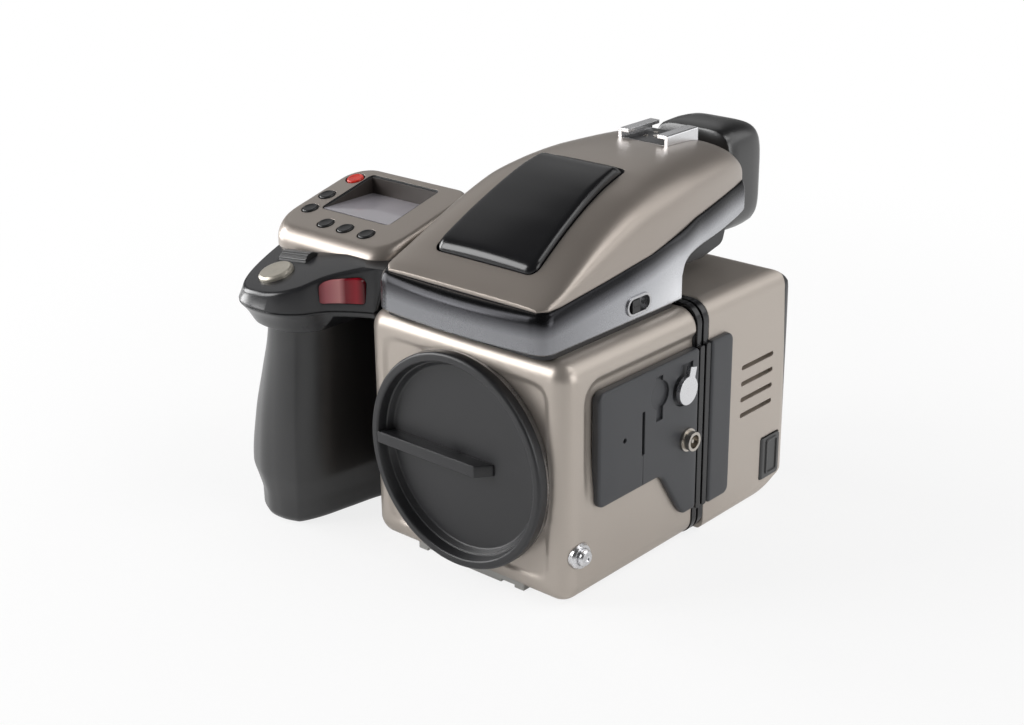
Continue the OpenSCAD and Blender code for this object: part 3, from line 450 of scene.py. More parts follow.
n = squareness(depth)
share = pocket_half(depth) / through(depth, HOOD_HALF)
edge = np.arctan2((1 - share**n) ** (1 / n), share)
rise = np.linspace(0, 1, 34)[None]
across = np.linspace(0, 1, 27)[None]
flank = section(depth, edge * rise)
crown = section(depth, edge + (np.pi - 2 * edge) * across)
floor = np.stack((pocket_half(depth) * (1 - 2 * across), depth + 0 * across,
                  lid_floor(depth, LID_R + LID_GAP) + 0 * across), -1)
hood_grid = np.concatenate((flank, np.where(pocket[..., None], floor, crown), flank[:, ::-1] * (-1, 1, 1)), 1)
hood_points, hood_faces = loft(hood_grid)
row, column = np.divmod(np.arange(len(hood_faces)), hood_grid.shape[1])
inside = np.append(pocket[:, 0], False)
touches = inside[np.minimum(row, len(inside) - 1)] | inside[np.minimum(row + 1, len(inside) - 1)]
lining = (touches & (column >= rise.size - 1) & (column < rise.size + across.size)).astype(int)
hood = add_piece("hood", hood_points, hood_faces, "camera", "hood_paint", ("finder_hood",),
                 paint=(lining, "black_satin"))

# %% [markdown]
# Lids, panels and windows start from a flat outline. Blender's curves could hold it, but arrays go on to
# the next step without conversion: rounded() draws the outline, inset() moves it sideways where an edge
# turns over, and lift() gives it height.

# %% Outlines with rounded corners


def rounded(corners, radii, steps, arc):
    """Closed outline with each corner turned into an arc of its radius, and straight sides cut into steps."""
    p, radii = np.asarray(corners, float), np.asarray(radii, float)
    u, v = (np.roll(p, s, 0) - p for s in (1, -1))
    u, v = (q / np.linalg.norm(q, axis=1, keepdims=True) for q in (u, v))
    half = np.arccos(np.clip((u * v).sum(1), -1, 1)) / 2
    reach = (radii / np.tan(half))[:, None]
    middle = (u + v) / np.linalg.norm(u + v, axis=1, keepdims=True)
    centre = p + middle * (radii / np.sin(half))[:, None]
    start, stop = p + u * reach, p + v * reach
    a = np.arctan2(*(start - centre).T[::-1])
    turn = (np.arctan2(*(stop - centre).T[::-1]) - a + np.pi) % (2 * np.pi) - np.pi
    angle = a[:, None] + turn[:, None] * np.linspace(0, 1, arc)
    bend = centre[:, None] + radii[:, None, None] * np.stack((np.cos(angle), np.sin(angle)), -1)
    t = np.linspace(0, 1, steps + 2)[None, 1:-1, None]
    side = stop[:, None] + (np.roll(start, -1, 0) - stop)[:, None] * t
    return np.concatenate((bend, side), 1).reshape(-1, 2)


def inset(ring, d):
    """Each point of (rings x) points x 2 moved by d to the right of its way along the ring, square to its
    neighbours' chord. That is inwards where the ring runs clockwise."""
    t = np.roll(ring, -1, -2) - np.roll(ring, 1, -2)
    t = t / np.linalg.norm(t, axis=-1, keepdims=True)
    return ring + np.stack((t[..., 1], -t[..., 0]), -1) * d


def lift(plan, height):
    """Plans (..., 2) with their heights as the third coordinate."""
    return np.concatenate((plan, np.broadcast_to(height, plan.shape[:-1])[..., None]), -1)


print("triangle with round corners:", len(rounded([(0, 0), (4, 0), (0, 4)], (1, 1, 1), 2, 5)), "points")

# %% [markdown]
# The flash lid is a rounded wedge of glossy plastic. It could be a bevelled block, but then its top
# wouldn't follow the hood. A ring round its plan climbs the side, turns over a small fillet and closes in
# towards the middle, and the height at every point comes from the hood's crown below it. Behind the axis
# the lid is a piece of a cylinder, so it can turn in its pocket.

# %% Flash lid
FILLET = 2.3


def lid_top(y):
    """Upper side of the lid: a rise over the hood that grows to meet the circle round the axis, then that
    circle."""
    meets = LID_AXIS[1] + LID_R - through(LID_AXIS[0], HOOD_TOP)
    t = np.clip((y + 6) / (LID_AXIS[0] + 6), 0, 1)
    over = LID_RISE + (meets - LID_RISE) * t * t * (3 - 2 * t)
    bend = LID_AXIS[1] + np.sqrt(np.maximum(LID_R**2 - (y - LID_AXIS[0]) ** 2, 0))
    return np.where(y < LID_AXIS[0], through(y, HOOD_TOP) + over, bend)


rear_half = lid_half(LID_REAR)
plan = rounded([(-LID_FRONT_HALF, LID_FRONT), (LID_FRONT_HALF, LID_FRONT), (rear_half, LID_REAR),
                (-rear_half, LID_REAR)], (3.4, 3.4, 2.4, 2.4), 40, 9)
sweep = np.radians(np.linspace(0, 90, 8))
lid_middle = np.array((0.0, 2.0))
shrink = np.linspace(0.94, 0.03, 14)
rim = [inset(plan, -FILLET * (1 - np.cos(a))) for a in sweep]
spots = np.stack([plan] + rim + [lid_middle + (rim[-1] - lid_middle) * s for s in shrink])
y = spots[..., 1]
chord = np.roll(plan, -1, 0) - np.roll(plan, 1, 0)
faces_back = -chord[:, 0] / np.linalg.norm(chord, axis=1)
soft = FILLET * np.clip(1 - faces_back, 0.04, 1)
down = np.concatenate(([1], 1 - np.sin(sweep), np.zeros(len(shrink))))[:, None]
fade = np.clip((LID_AXIS[0] - y) / 14, 0, 1)
crowned = 0.7 * (1 - (spots[..., 0] / lid_half(y)) ** 2) * fade**2 * (3 - 2 * fade)
height = lid_top(y) - soft * down + crowned
height[0] = lid_floor(y[0], LID_R)
lid = add_piece("flash_lid", *loft(lift(spots, height)), "flash", "black_gloss", ("flash_head",), crease=40)

# %% [markdown]
# Some pieces need holes: the lid has a slot for its window and a bore for its pin, and the shoe sits in
# the hood. A live Boolean would need its cutters kept in the scene. carve() subtracts closed tools when
# the piece is built and keeps only the finished mesh.

# %% Cutting holes


def disc(centre, axis, radius, length, sides=64):
    """Closed cylinder that starts at centre and runs along the unit vector axis."""
    axis = np.asarray(axis, float)
    u = np.cross(axis, (0.0, 0.0, 1.0) if abs(axis[2]) < 0.9 else (1.0, 0.0, 0.0))
    u /= np.linalg.norm(u)
    a = 2 * np.pi * np.arange(sides)[:, None] / sides
    ring = np.asarray(centre) + radius * (np.cos(a) * u + np.sin(a) * np.cross(axis, u))
    return loft(np.stack((ring, ring + axis * length)))


def block(low, high):
    """Closed box between two corners."""
    (x0, y0, z0), (x1, y1, z1) = low, high
    ring = np.array(((x0, y0, z0), (x1, y0, z0), (x1, y1, z0), (x0, y1, z0)), float)
    return loft(np.stack((ring, ring + (0, 0, z1 - z0))))


def carve(obj, tools):
    """Subtracts closed tools, given as points in mm and faces, from the piece's mesh."""
    for points, faces in tools:
        shape = bpy.data.meshes.new("tool")
        shape.from_pydata((points * MM).tolist(), [], facing_out(points, faces))
        tool = new_object("tool", shape)
        cut = obj.modifiers.new("cut", "BOOLEAN")
        cut.operation, cut.solver, cut.object = "DIFFERENCE", "EXACT", tool
        bpy.context.view_layer.update()
        whole = bpy.data.meshes.new_from_object(obj.evaluated_get(bpy.context.evaluated_depsgraph_get()))
        obj.modifiers.clear()
        old, obj.data = obj.data, whole
        whole.name = old.name
        bpy.data.objects.remove(tool)
        bpy.data.meshes.remove(shape)
        bpy.data.meshes.remove(old)
    smooth_below(obj.data, 32)
    print(obj.name, "carved by", len(tools), "tools")


carve(lid, [block((-15, -30, 100), (15, -24, 106.3)), disc((-25, *LID_AXIS), (1, 0, 0), 1.28, 50, 32)])
carve(hood, [block((-11, 58, 128.2), (11, 76.5, 140))])

# %% [markdown]
# The rubber handle is slim at the top, full above the foot, drawn in again at the foot, and creased down
# its nose. It could be sculpted, but a stack of plans keeps the crease where it belongs. A smooth curve
# through listed corners gives three plans, their shares change with the height, and the last
# millimetres turn in to a soft sole.

# %% Handle
SIDE_X, SEAT_Z, SOLE_Z = -43.9, 73.4, 0.3
HANDLE_TOP = [(-65.2, -37), (-68.4, -44.2), (-71, -46.4), (-78, -47.4), (-85, -44.5), (-91.5, -36),
              (-96, -22), (-97, -5), (-93, 8), (-84, 13), (-62, 13), (-42, 12), (-42, -2), (-55, -5),
              (-61, -14), (-63, -28)]
HANDLE_LOW = [(-64, -41), (-67.2, -49.4), (-70, -51.7), (-78, -53.2), (-87, -52), (-98.5, -44), (-103, -26),
              (-103, -5), (-97, 9), (-86, 13), (-62, 13), (-42, 12), (-42, -2), (-54, -5), (-60, -14.5),
              (-62, -29)]
HANDLE_FOOT = [(-65.4, -41), (-68.2, -49), (-71, -51.2), (-77, -52.6), (-84, -51.6), (-93, -45), (-98, -30),
               (-99, -10), (-94.5, 6), (-85, 12), (-62, 12), (-42, 11), (-42, -3), (-55, -6), (-61, -15),
               (-63.5, -29)]
LOW_SHARE = [(SOLE_Z, 1), (17.5, 1), (36, 0.8), (53, 0.45), (66, 0.16), (SEAT_Z, 0.05)]
FOOT_SHARE = [(SOLE_Z, 1), (8, 0.97), (12.8, 0.5), (17.5, 0), (SEAT_Z, 0)]
SOLE_INSET = [(SOLE_Z, 2), (0.5, 1.3), (1, 0.7), (2.6, 0), (SEAT_Z, 0)]


def smooth_ring(corners, k):
    """Closed curve through given corners, k points to a stretch: a cubic whose slope at a corner is half
    the step between its two neighbours."""
    p = np.asarray(corners, float)
    t = (np.arange(k) / k)[None, :, None]
    a, b, c, d = (np.roll(p, s, 0)[:, None] for s in (1, 0, -1, -2))
    return (0.5 * (2 * b + (c - a) * t + (2 * a - 5 * b + 4 * c - d) * t**2
                   + (3 * b - a - 3 * c + d) * t**3)).reshape(-1, p.shape[1])


levels = np.concatenate((np.linspace(SOLE_Z, 2.6, 8), np.linspace(3.6, 20, 18), np.linspace(22, SEAT_Z, 25)))
top_plan, low_plan, foot_plan = (smooth_ring(p, 10) for p in (HANDLE_TOP, HANDLE_LOW, HANDLE_FOOT))
low, foot, turn_in = (through(levels, t)[:, None, None] for t in (LOW_SHARE, FOOT_SHARE, SOLE_INSET))
plans = inset((top_plan * (1 - low) + low_plan * low) * (1 - foot) + foot_plan * foot, turn_in)
plans[..., 0] = np.minimum(plans[..., 0], SIDE_X)
add_piece("handle", *loft(lift(plans, levels[:, None]), (-75, 2, SOLE_Z, SEAT_Z)), "camera", "grip_rubber",
          ("grip_handle",))

# %% [markdown]
# The collar caps the handle and leans forward: its top is one tilted plane, and its wall leans in towards
# it. It could be cut from a block, but rings of one outline show how it grows: shrunk towards a hub at
# the foot, drawn in a little at the fine seam, and inset step by step where the upper edge rolls over.

# %% Collar
COLLAR_PLAN = [(-22, -24), (-34, -30), (-44, -33.2), (-52, -37.6), (-58, -42.5), (-62.5, -50), (-70, -55),
               (-81, -56), (-90.5, -53), (-97.5, -43.5), (-102, -27), (-103.5, -8), (-103.5, 8), (-98, 18),
               (-84, 21.5), (-62, 22), (-40, 21.5), (-28, 18), (-20, 8), (-17, -8)]
SLOPE = np.array((0.123, 0.283))
COLLAR_UP = np.array((-SLOPE[0], -SLOPE[1], 1.0)) / np.sqrt(1 + (SLOPE**2).sum())
COLLAR_HUB = np.array((-75.0, -15.0))
ROLL, LEAN = 1.4, 1.5


def collar_z(x, y):
    """Height of the collar's tilted top: 86.7 mm at (-90, -51), rising backwards and to the right."""
    return 86.7 + SLOPE[0] * (x + 90) + SLOPE[1] * (y + 51)


outline = smooth_ring(COLLAR_PLAN, 10)
turn_over = np.radians(np.linspace(0, 90, 10))
taper = [COLLAR_HUB + (outline - COLLAR_HUB) * k for k in (0.87, 0.884, 0.90, 0.93, 0.958, 0.98)]
wall = [inset(outline, d) for d in (0.3, 0.1, 0.5, 0.5, 0.08, 0.0)]
rim = [inset(outline, LEAN + ROLL * (1 - np.cos(a))) for a in turn_over]
rings = np.stack(taper + wall + rim)
flat = np.array((SEAT_Z, 74.3, 75.5, 77.6, 79.2, 80.2, 80.8, 81.3, 81.4, 81.65, 81.75, 82.1))
top = collar_z(rings[..., 0], rings[..., 1])[-len(rim):] - ROLL * (1 - np.sin(turn_over))[:, None]
heights = np.concatenate((np.broadcast_to(flat[:, None], (len(flat), len(outline))), top))
rings[..., 0] = np.minimum(rings[..., 0], np.where(heights < 85.6, -44.0, -38.6))
collar = add_piece("collar", *loft(lift(rings, heights), (*COLLAR_HUB, SEAT_Z, collar_z(*COLLAR_HUB))),
                   "camera", "collar_grey", ("grip_collar",))

# %% [markdown]
# Two wheels, the shutter button and the red window sit in the collar. Dark paint could stand in for their
# openings, but the narrow gaps round them show. So each gets a well or a bore, a little larger than the
# CAD piece that moves in it.

# %% Wells, bores and window in the collar
WHEEL_R, WHEEL_HALF, WHEEL_SINK = 3.8 + 0.3, 7.3, 1.8
PANE_X, PANE_LOW = (-59.2, -46.8), 84.3
shutter = np.array((-82, -42.4, collar_z(-82, -42.4)))
wheel = np.array((-83, -31.2, collar_z(-83, -31.2)))
along = np.cross((0, 1, 0), COLLAR_UP)
along /= np.linalg.norm(along)
front_well = wheel - WHEEL_SINK * COLLAR_UP - WHEEL_HALF * along
rear_well = np.array((-84.0, 21.2, 87.0)) - (WHEEL_HALF, WHEEL_SINK, 0)
under = np.array(((-62, -80, 73), (-57.2, -80, 79.2), (-40, -80, 79.2), (-40, -80, 70), (-62, -80, 70)))
pane_high = [collar_z(x, -38) - 1.9 for x in PANE_X]
pane = rounded([(PANE_X[0], PANE_LOW), (PANE_X[1], PANE_LOW), (PANE_X[1], pane_high[1]),
                (PANE_X[0], pane_high[0])], (1, 1, 2.5, 2.5), 14, 8)
carve(collar, [
    block((-120, -80, 97), (0, 40, 130)),  # room for the display housing
    loft(np.stack((under, under + (0, 64.5, 0)))),  # room for fingers
    loft(np.stack([lift(pane, y)[:, (0, 2, 1)] for y in (-60.0, -32.0)])),  # red window
    disc(shutter - 4 * COLLAR_UP, COLLAR_UP, 6.38, 10),  # shutter button
    disc(front_well, along, WHEEL_R, 2 * WHEEL_HALF),
    disc(rear_well, (1, 0, 0), WHEEL_R, 2 * WHEEL_HALF),
])

# %% [markdown]
# The red window of the focusing aid follows the collar's wall. A flat pane would stand off the bend, so
# its outline is drawn in the front view and the depth at each point is read from the collar's own
# outline. The pane is tinted glass over a lamp, and a ramp across it paints a pale pink reflection into
# its colour beside the deep red.

# %% Red window
front = outline[(outline[:, 0] > -66) & (outline[:, 0] < -36) & (outline[:, 1] < -25)]
front = front[np.argsort(front[:, 0])]
pane_middle = pane.mean(0)
pane_rows = [pane, pane, inset(pane, -0.12), inset(pane, -0.4)]
pane_rows += [pane_middle + (pane_rows[-1] - pane_middle) * k for k in (0.8, 0.6, 0.4, 0.2, 0.04)]
pane_rows = np.stack(pane_rows)
set_back = np.array((1.9, 0.55, 0.28, 0.2, 0.2, 0.2, 0.2, 0.2, 0.2))[:, None]
pane_y = np.interp(pane_rows[..., 0], *front.T) + set_back
window = add_piece("red_window", *loft(lift(pane_rows, pane_y)[..., (0, 2, 1)]), "camera", "window_red",
                   ("assist_window",))
glass = finish("red_glass", (96, 8, 18), 0.12, 0.0, 0.15, 600, 0.001, 0.3,
               {"Coat Weight": 0.15, "Coat Roughness": 0.04, "Specular IOR Level": 0.3})
across_pane = glass.ease(glass.part(glass.place, "X"), (PANE_X[0] * MM, PANE_X[1] * MM), curve="LINEAR")
# the pale pink stops are a painted reflection in the glass's colour
glass.feed("Base Color", glass.ramp(
    across_pane, (0.0, linear(96, 6, 20)), (0.12, linear(160, 86, 92)), (0.40, linear(186, 124, 124)),
    (0.54, linear(112, 10, 26)), (0.8, linear(146, 10, 30)), (1.0, linear(70, 3, 12))))
window.data.materials[0] = glass.material

# %% [markdown]
# The eyecup is a soft hollow frame of rubber. It could be a tube with thickness added, but its lip and
# its inner wall differ. One closed profile, up the outside, over the lip and back along the inner wall,
# is swept round a squared-off ellipse.

# %% Eyecup
CUP_Z, CUP_POWER = 111, 4.76
CUP_PROFILE = np.array((  # depth, half width, half height
    (87, 16.2, 18.4), (87.4, 16.9, 19.1), (89, 17.6, 19.7), (93, 17.75, 19.9), (97, 17.8, 20),
    (101, 17.7, 19.8), (105, 17.4, 19.4), (106.8, 16.9, 18.8), (107.8, 16.2, 18.0), (108, 15.4, 17.0),
    (107.6, 14.4, 15.4), (106.4, 13.5, 13.6), (104, 13.1, 12.8), (96.2, 13, 12.5), (96, 14.5, 13.4),
    (87, 14.5, 13.4)))
angle = 2 * np.pi * np.arange(96) / 96
c, s = np.cos(angle), np.sin(angle)
reach = (np.abs(c) ** CUP_POWER + np.abs(s) ** CUP_POWER) ** (-1 / CUP_POWER)
profile = np.concatenate((CUP_PROFILE, CUP_PROFILE[:1]))[:, None, :]
cup = np.stack((profile[..., 1] * reach * c, profile[..., 0] + 0 * angle,
                CUP_Z + profile[..., 2] * reach * s), -1)
add_piece("cup", cup.reshape(-1, 3), quads(len(profile), len(angle), True).tolist(), "camera", "soft_rubber",
          ("eyecup",))

# %% [markdown]
# The body's skin has two shallow hollows pressed into it, one on the front face and one round the dark
# side panel. Cut with a Boolean they would have sharp borders. Here each is a smooth step of the distance
# to an outline, so its border is a soft slope.

# %% Distances and soft steps


def distance(points, outline):
    """Signed distance of points n x 2 to a closed outline, negative inside by the even-odd rule."""
    a, b = outline, np.roll(outline, -1, 0)
    step = b - a
    p = points[:, None] - a
    t = np.clip((p * step).sum(-1) / (step**2).sum(-1), 0, 1)
    far = np.linalg.norm(p - t[..., None] * step, axis=-1).min(1)
    y, rise = points[:, None, 1], np.where(step[:, 1] == 0, 1e-9, step[:, 1])
    crosses = (a[:, 1] > y) != (b[:, 1] > y)
    left = points[:, None, 0] < a[:, 0] + (y - a[:, 1]) * step[:, 0] / rise
    return np.where((crosses & left).sum(1) % 2 == 1, -far, far)


def soft_step(x, low, high):
    """0 below low, 1 above high, and 3t^2 - 2t^3 between."""
    t = np.clip((x - low) / (high - low), 0, 1)
    return t * t * (3 - 2 * t)


print("half way up a soft step:", soft_step(0.5, 0, 1))

# %% [markdown]
# The body is a painted box with soft edges. A bevelled cube would do for the edges, but the hollows need
# points to move. So the box is a grid: a ring runs round its section, rows of rings follow the depth, and
# at the front they turn over the edge and close in on the mount.

# %% Rows of the body
BODY_HALF, BODY_LOW, BODY_HIGH, FRONT_Y, SEAM_Y = 44.0, 0.6, 85.0, -37.0, 31.0
LENS_Z, MOUTH_R, EDGE_R, SECTION_R = 42.4, 30.0, 6.5, 7.0
PANEL = (-23.0, 32.0, 72.2)


def body_ring(d):
    """Section of the body drawn in by d, with many points on the side that carries the panel."""
    x, low, high = BODY_HALF - d, BODY_LOW + d, BODY_HIGH - d
    r = max(SECTION_R - d, 0.4)
    quarter = np.linspace(0, np.pi / 2, 13)
    centres = np.array(((x - r, low + r), (x - r, high - r), (r - x, high - r), (r - x, low + r)))
    start = np.array((-np.pi / 2, 0, np.pi / 2, np.pi))
    parts = []
    for k, points in enumerate((150, 30, 24, 30)):
        turn = start[k] + quarter
        arc = centres[k] + r * np.stack((np.cos(turn), np.sin(turn)), -1)
        after = centres[(k + 1) % 4] + r * np.array((np.cos(turn[-1]), np.sin(turn[-1])))
        parts += [arc, arc[-1] + (after - arc[-1]) * np.linspace(0, 1, points + 2)[1:-1, None]]
    return np.concatenate(parts)


outer = body_ring(EDGE_R)
angle = np.arctan2(outer[:, 1] - LENS_Z, outer[:, 0])
mouth = np.array((0, LENS_Z)) + MOUTH_R * np.stack((np.cos(angle), np.sin(angle)), -1)
close_in = np.linspace(0, 1, 34)[:-1, None, None]
face = mouth * (1 - close_in) + outer * close_in
bend = np.linspace(0, np.pi / 2, 10)
edge_rows = np.stack([body_ring(EDGE_R * (1 - np.sin(a))) for a in bend])
side_y = np.linspace(FRONT_Y + EDGE_R, SEAM_Y, 96)[1:]
side_rows = np.broadcast_to(body_ring(0.0), (len(side_y), *outer.shape))
flat = np.concatenate((face, edge_rows, side_rows))
row_y = np.concatenate((np.full(len(face), FRONT_Y), FRONT_Y + EDGE_R * (1 - np.cos(bend)), side_y))
body = lift(flat, row_y[:, None])[..., (0, 2, 1)]
print("body grid", body.shape)

# %% Body with its hollows and openings
FRONT_DEEP, SIDE_DEEP, BORDER = 0.8, 1.5, 4.0
hollow = rounded([(-36, 8), (36, 8), (36, 77), (-36, 77)], (6, 6, 6, 6), 6, 8)
front_rows = body[:len(face)]
deep = soft_step(-distance(front_rows[..., (0, 2)].reshape(-1, 2), hollow), -1.0, 1.6)
front_rows[..., 1] += FRONT_DEEP * deep.reshape(front_rows.shape[:2])

near, low, high = PANEL[0] - BORDER, PANEL[1] - BORDER, PANEL[2] + BORDER
plate = rounded([(near, low), (60, low), (60, high), (near, high)], (7, 1, 1, 7), 6, 8)
near_panel = distance(body[..., (1, 2)].reshape(-1, 2), plate).reshape(body.shape[:2])
on_side = soft_step(body[..., 0], BODY_HALF - 2.0, BODY_HALF - 0.4) * soft_step(body[..., 2], 30, 54)
body[..., 0] -= SIDE_DEEP * soft_step(-near_panel, -1.8, 1.6) * on_side
shell = add_piece("body", *loft(body), "camera", "taupe_paint", ("body_shell",))
carve(shell, [
    block((-31, -31, 14), (31, 24, 79)),  # mirror chamber
    disc((0, -40, LENS_Z), (0, 1, 0), 37.05, 4.7, 96),  # seat of the mount
    disc((0, -40, LENS_Z), (0, 1, 0), 35.6, 10, 96),  # light's way in
    block((-30, -30, 80), (30, 22.5, 86)),  # focusing screen
    block((-27, -27, 78), (27, 19.5, 81)),  # light's way up
    block((-27, 23, 22.4), (27, 32, 62.4)),  # light's way to the sensor
    block((-24, -38, -1), (24, 23, 3.02)),  # base plate
    block((-14, -12, -1), (14, 23, 9.02)),  # tripod sockets
    disc((39, -30, 17.9), (1, 0, 0), 4.53, 8, 40),  # collar of the release
    disc((36, -30, 17.9), (1, 0, 0), 2.98, 8, 40),  # release button
    *[disc((x, 19.5, 74.5), (1, 0, 0), 1.5, 4, 24) for x in (-35, 31)],  # mirror's pin
])

# %% [markdown]
# Under the hood runs a metal band with a soft shoulder. Its plan bows out at the front and narrows
# towards the eyepiece. It could be an extruded outline, but its foot isn't level: it climbs in a curve to
# the tail behind the body. So each point of the plan carries a column, straight up from the foot and then
# a quarter of an ellipse over to the hood's edge. Left and right mirror each other, so the underside and
# the top are strips between mirrored points.

# %% Plan of the finder band
FINDER_HALF, FINDER_FOOT, FINDER_END, SHOULDER = 37.0, 87.0, 82.0, 4.6
SIDE_IN = [(-40, 0), (32, 0), (46, -2), (60, -4.4), (72, -6.8), (84, -9)]
TAIL = [(32.02, 95), (33.6, 99), (37.5, 101.3), (44, 102.2), (66, 103.6), (79, 105.2), (82, 107.5)]
HOOD_SEAM = np.array([(-50, 99.4)] + HOOD_LOW).T


def arc_plan(x, y, r, start, stop, points):
    """Arc of radius r round (x, y) between two angles."""
    a = np.linspace(start, stop, points)
    return np.array((x, y)) + r * np.stack((np.cos(a), np.sin(a)), -1)


x = np.linspace(0.2, FINDER_HALF - 5.6, 26)
bow = np.stack((x, -41.2 + 2.4 * (x / FINDER_HALF) ** 2), -1)
corner = arc_plan(FINDER_HALF - 5.2, -33.9, 5.2, -np.pi / 2 + 0.11, 0, 12)
y = np.concatenate((np.linspace(-33, 31.9, 60), (31.98, 32.02), 32 + 12 * np.linspace(0.04, 1, 16) ** 1.6,
                    np.linspace(45, 80, 30)))
flank_plan = np.stack((FINDER_HALF + through(y, SIDE_IN), y), -1)
x_end = FINDER_HALF + through(FINDER_END, SIDE_IN)
rear_corner = arc_plan(x_end - 2, FINDER_END - 2, 2, 0, np.pi / 2, 8)
rear_edge = np.stack((np.linspace(x_end - 3, 0.2, 12), np.full(12, FINDER_END)), -1)
half_plan = np.concatenate((bow, corner, flank_plan, rear_corner, rear_edge))
print("half plan of", len(half_plan), "points")

# %% Columns of the finder band
x, y = half_plan.T
foot_z = np.where(y <= 32, FINDER_FOOT, through(y, TAIL))
top_z = np.interp(y, *HOOD_SEAM)
inner_y = np.clip(y, -37.1, 81.2)
inner_x = np.minimum(x, through(inner_y, HOOD_HALF) + 0.03)
curve = np.linspace(0, np.pi / 2, 14)[:, None]
column_z = np.concatenate(((foot_z + 0.5)[None], np.linspace(foot_z + 0.9, top_z - SHOULDER, 8)[:-1],
                           top_z - SHOULDER * (1 - np.sin(curve))))
lean_in = np.concatenate((np.zeros((8, 1)), 1 - np.cos(curve)))
columns = np.stack((x + (inner_x - x) * lean_in, y + (inner_y - y) * lean_in, column_z), -1)
foot_row = np.stack((x - 0.4 * (x > 1), y + 0.4 * (y < -35), foot_z), -1)
right_half = np.concatenate((foot_row[None], columns))
band_grid = np.concatenate((right_half, right_half[:, ::-1] * (-1, 1, 1)), 1)
rows, wide, _ = band_grid.shape
i = np.arange(wide // 2 - 1)
strip = np.stack((i, i + 1, wide - 2 - i, wide - 1 - i), -1)
band_faces = quads(rows, wide, True).tolist() + strip.tolist() + (strip[:, ::-1] + (rows - 1) * wide).tolist()
band = add_piece("finder_band", band_grid.reshape(-1, 3), band_faces, "camera", "silver",
                 ("finder_core", "finder_front", "finder_side_right", "finder_side_left"))
slot = np.concatenate((arc_plan(11, 92, 3.3, -np.pi / 2, np.pi / 2, 17),
                       arc_plan(5, 92, 3.3, np.pi / 2, 3 * np.pi / 2, 17)))
slot = lift(slot, 32.0)[:, (2, 0, 1)]
carve(band, [loft(np.stack((slot, slot + (10, 0, 0))))])

# %% [markdown]
# The band is silver, and glossy black is painted into its colour under the hood: a painted reflection of
# the dark on its rounded shoulder, and painted shade at the hood's edge. Two strips of different finish would
# need a seam, so one finish follows a map instead: its second coordinate is how far a point lies below the
# hood's edge. A ramp along the depth paints a highlight on the flank by the catch, and painted shade keeps
# the front darker.

# %% Finish of the finder band


def values(items, name, width=1, kind=float):
    """One property of a mesh's vertices, loops or faces as an array, width numbers to a row."""
    flat = np.empty(len(items) * width, kind)
    items.foreach_get(name, flat)
    return flat.reshape(-1, width)


spots = values(band.data.vertices, "co", 3) / MM
below = np.interp(spots[:, 1], *HOOD_SEAM) - spots[:, 2]
corner_of = values(band.data.loops, "vertex_index", 1, np.int32)[:, 0]
shade_map = band.data.uv_layers[0] if band.data.uv_layers else band.data.uv_layers.new(name="below_seam")
shade = np.stack((spots[:, 1] / 200, below / 20), -1)[corner_of]
shade_map.uv.foreach_set("vector", shade.astype(np.float32).ravel())

metal = finish("band_metal", (180, 181, 185), 0.27, 0.92, 0.05, 3800, 0.005, 0.3, marks=0.08)
level = metal.part(metal.add("ShaderNodeTexCoord", {}, {}, "UV"), "Y")
deep = metal.part(metal.place, "Y")
# silver below; the black at the top is a painted reflection of the rounded shoulder and painted shade at the
# hood's edge
shoulder_reflection = metal.ramp(level, (0.0, linear(14, 14, 16)), (0.11, linear(24, 24, 26)), (0.22, linear(92, 92, 96)),
                  (0.40, linear(172, 173, 177)), (1.0, linear(182, 183, 187)))
grainy = metal.blend(metal.noise(3800) * 0.12, shoulder_reflection, linear(120, 120, 124))
# painted highlight on the flank by the catch
painted_highlight_share = metal.ramp(metal.ease(deep, (-0.042, 0.085), curve="LINEAR"), *(
    (at, (grey, grey, grey, 1)) for at, grey in ((0.0, 0), (0.35, 0), (0.56, 0.8), (0.72, 0.2), (1.0, 0))))
with_painted_highlight = metal.blend(painted_highlight_share * level, grainy, linear(248, 249, 252))
# painted shade darkens the front
front_shade = metal.ease(deep, (-0.042, 0.010), (0.40, 0.0))
metal.feed("Base Color", metal.blend(front_shade, with_painted_highlight, linear(40, 40, 42)))
band.data.materials[0] = metal.material
print("band goes from black at the hood to silver below")

# %% [markdown]
# The display housing is a painted box with a sloping top and a broad soft edge. A bevel would give every
# edge the same radius, but here the front rolls more than the rear. So a ring round its plan climbs the
# wall, rolls over the edge by a radius that changes along it, and closes in on the slope. The recess of
# the display and the bores of the keys are cut after. The ledge and the key rings get black paint, and
# the walls of the recess get darker paint: painted shade in the recess.

# %% Display housing
TOP_Z, TOP_SLOPE = 106.5, 0.25
TOP_UP = np.array((0, -TOP_SLOPE, 1)) / np.hypot(1, TOP_SLOPE)
KEY_PLACES = [(-99, -1.5), (-97.5, -11.5), (-83, -17.5), (-73, -17.5), (-62.5, -17.5)]
POWER_PLACE = (-98, 12)
RECESS = ((-93, -9), (-60, 16))


def slope_z(y):
    """Height of the housing's sloping top at depth y."""
    return TOP_Z + TOP_SLOPE * y


plan = rounded([(-105, -27), (-46, -27), (-46, 21.5), (-105, 21.5)], (11, 8, 8, 11), 14, 12)
roll = 2.4 + 2.9 * soft_step(-plan[:, 1:], 12, 25)
sweep = np.radians(np.linspace(0, 90, 10))
rim = [inset(plan, -roll * (1 - np.cos(a))) for a in sweep]
centre = np.array((-74.0, -2.5))
spots = np.stack([plan] + rim + [centre + (rim[-1] - centre) * s for s in (0.9, 0.6, 0.3, 0.05)])
drop = np.concatenate(([1], 1 - np.sin(sweep), np.zeros(4)))[:, None] * roll[:, 0]
height = slope_z(spots[..., 1]) - drop
height[0] = np.minimum(96.9, collar_z(plan[:, 0], plan[:, 1]) - 0.4)
housing = add_piece("housing", *loft(lift(spots, height)), "camera", "hood_paint", ("display_housing",))

# %% Recess, bores and paint of the housing
key_at = [np.array((x, y, slope_z(y))) for x, y in KEY_PLACES + [POWER_PLACE]]


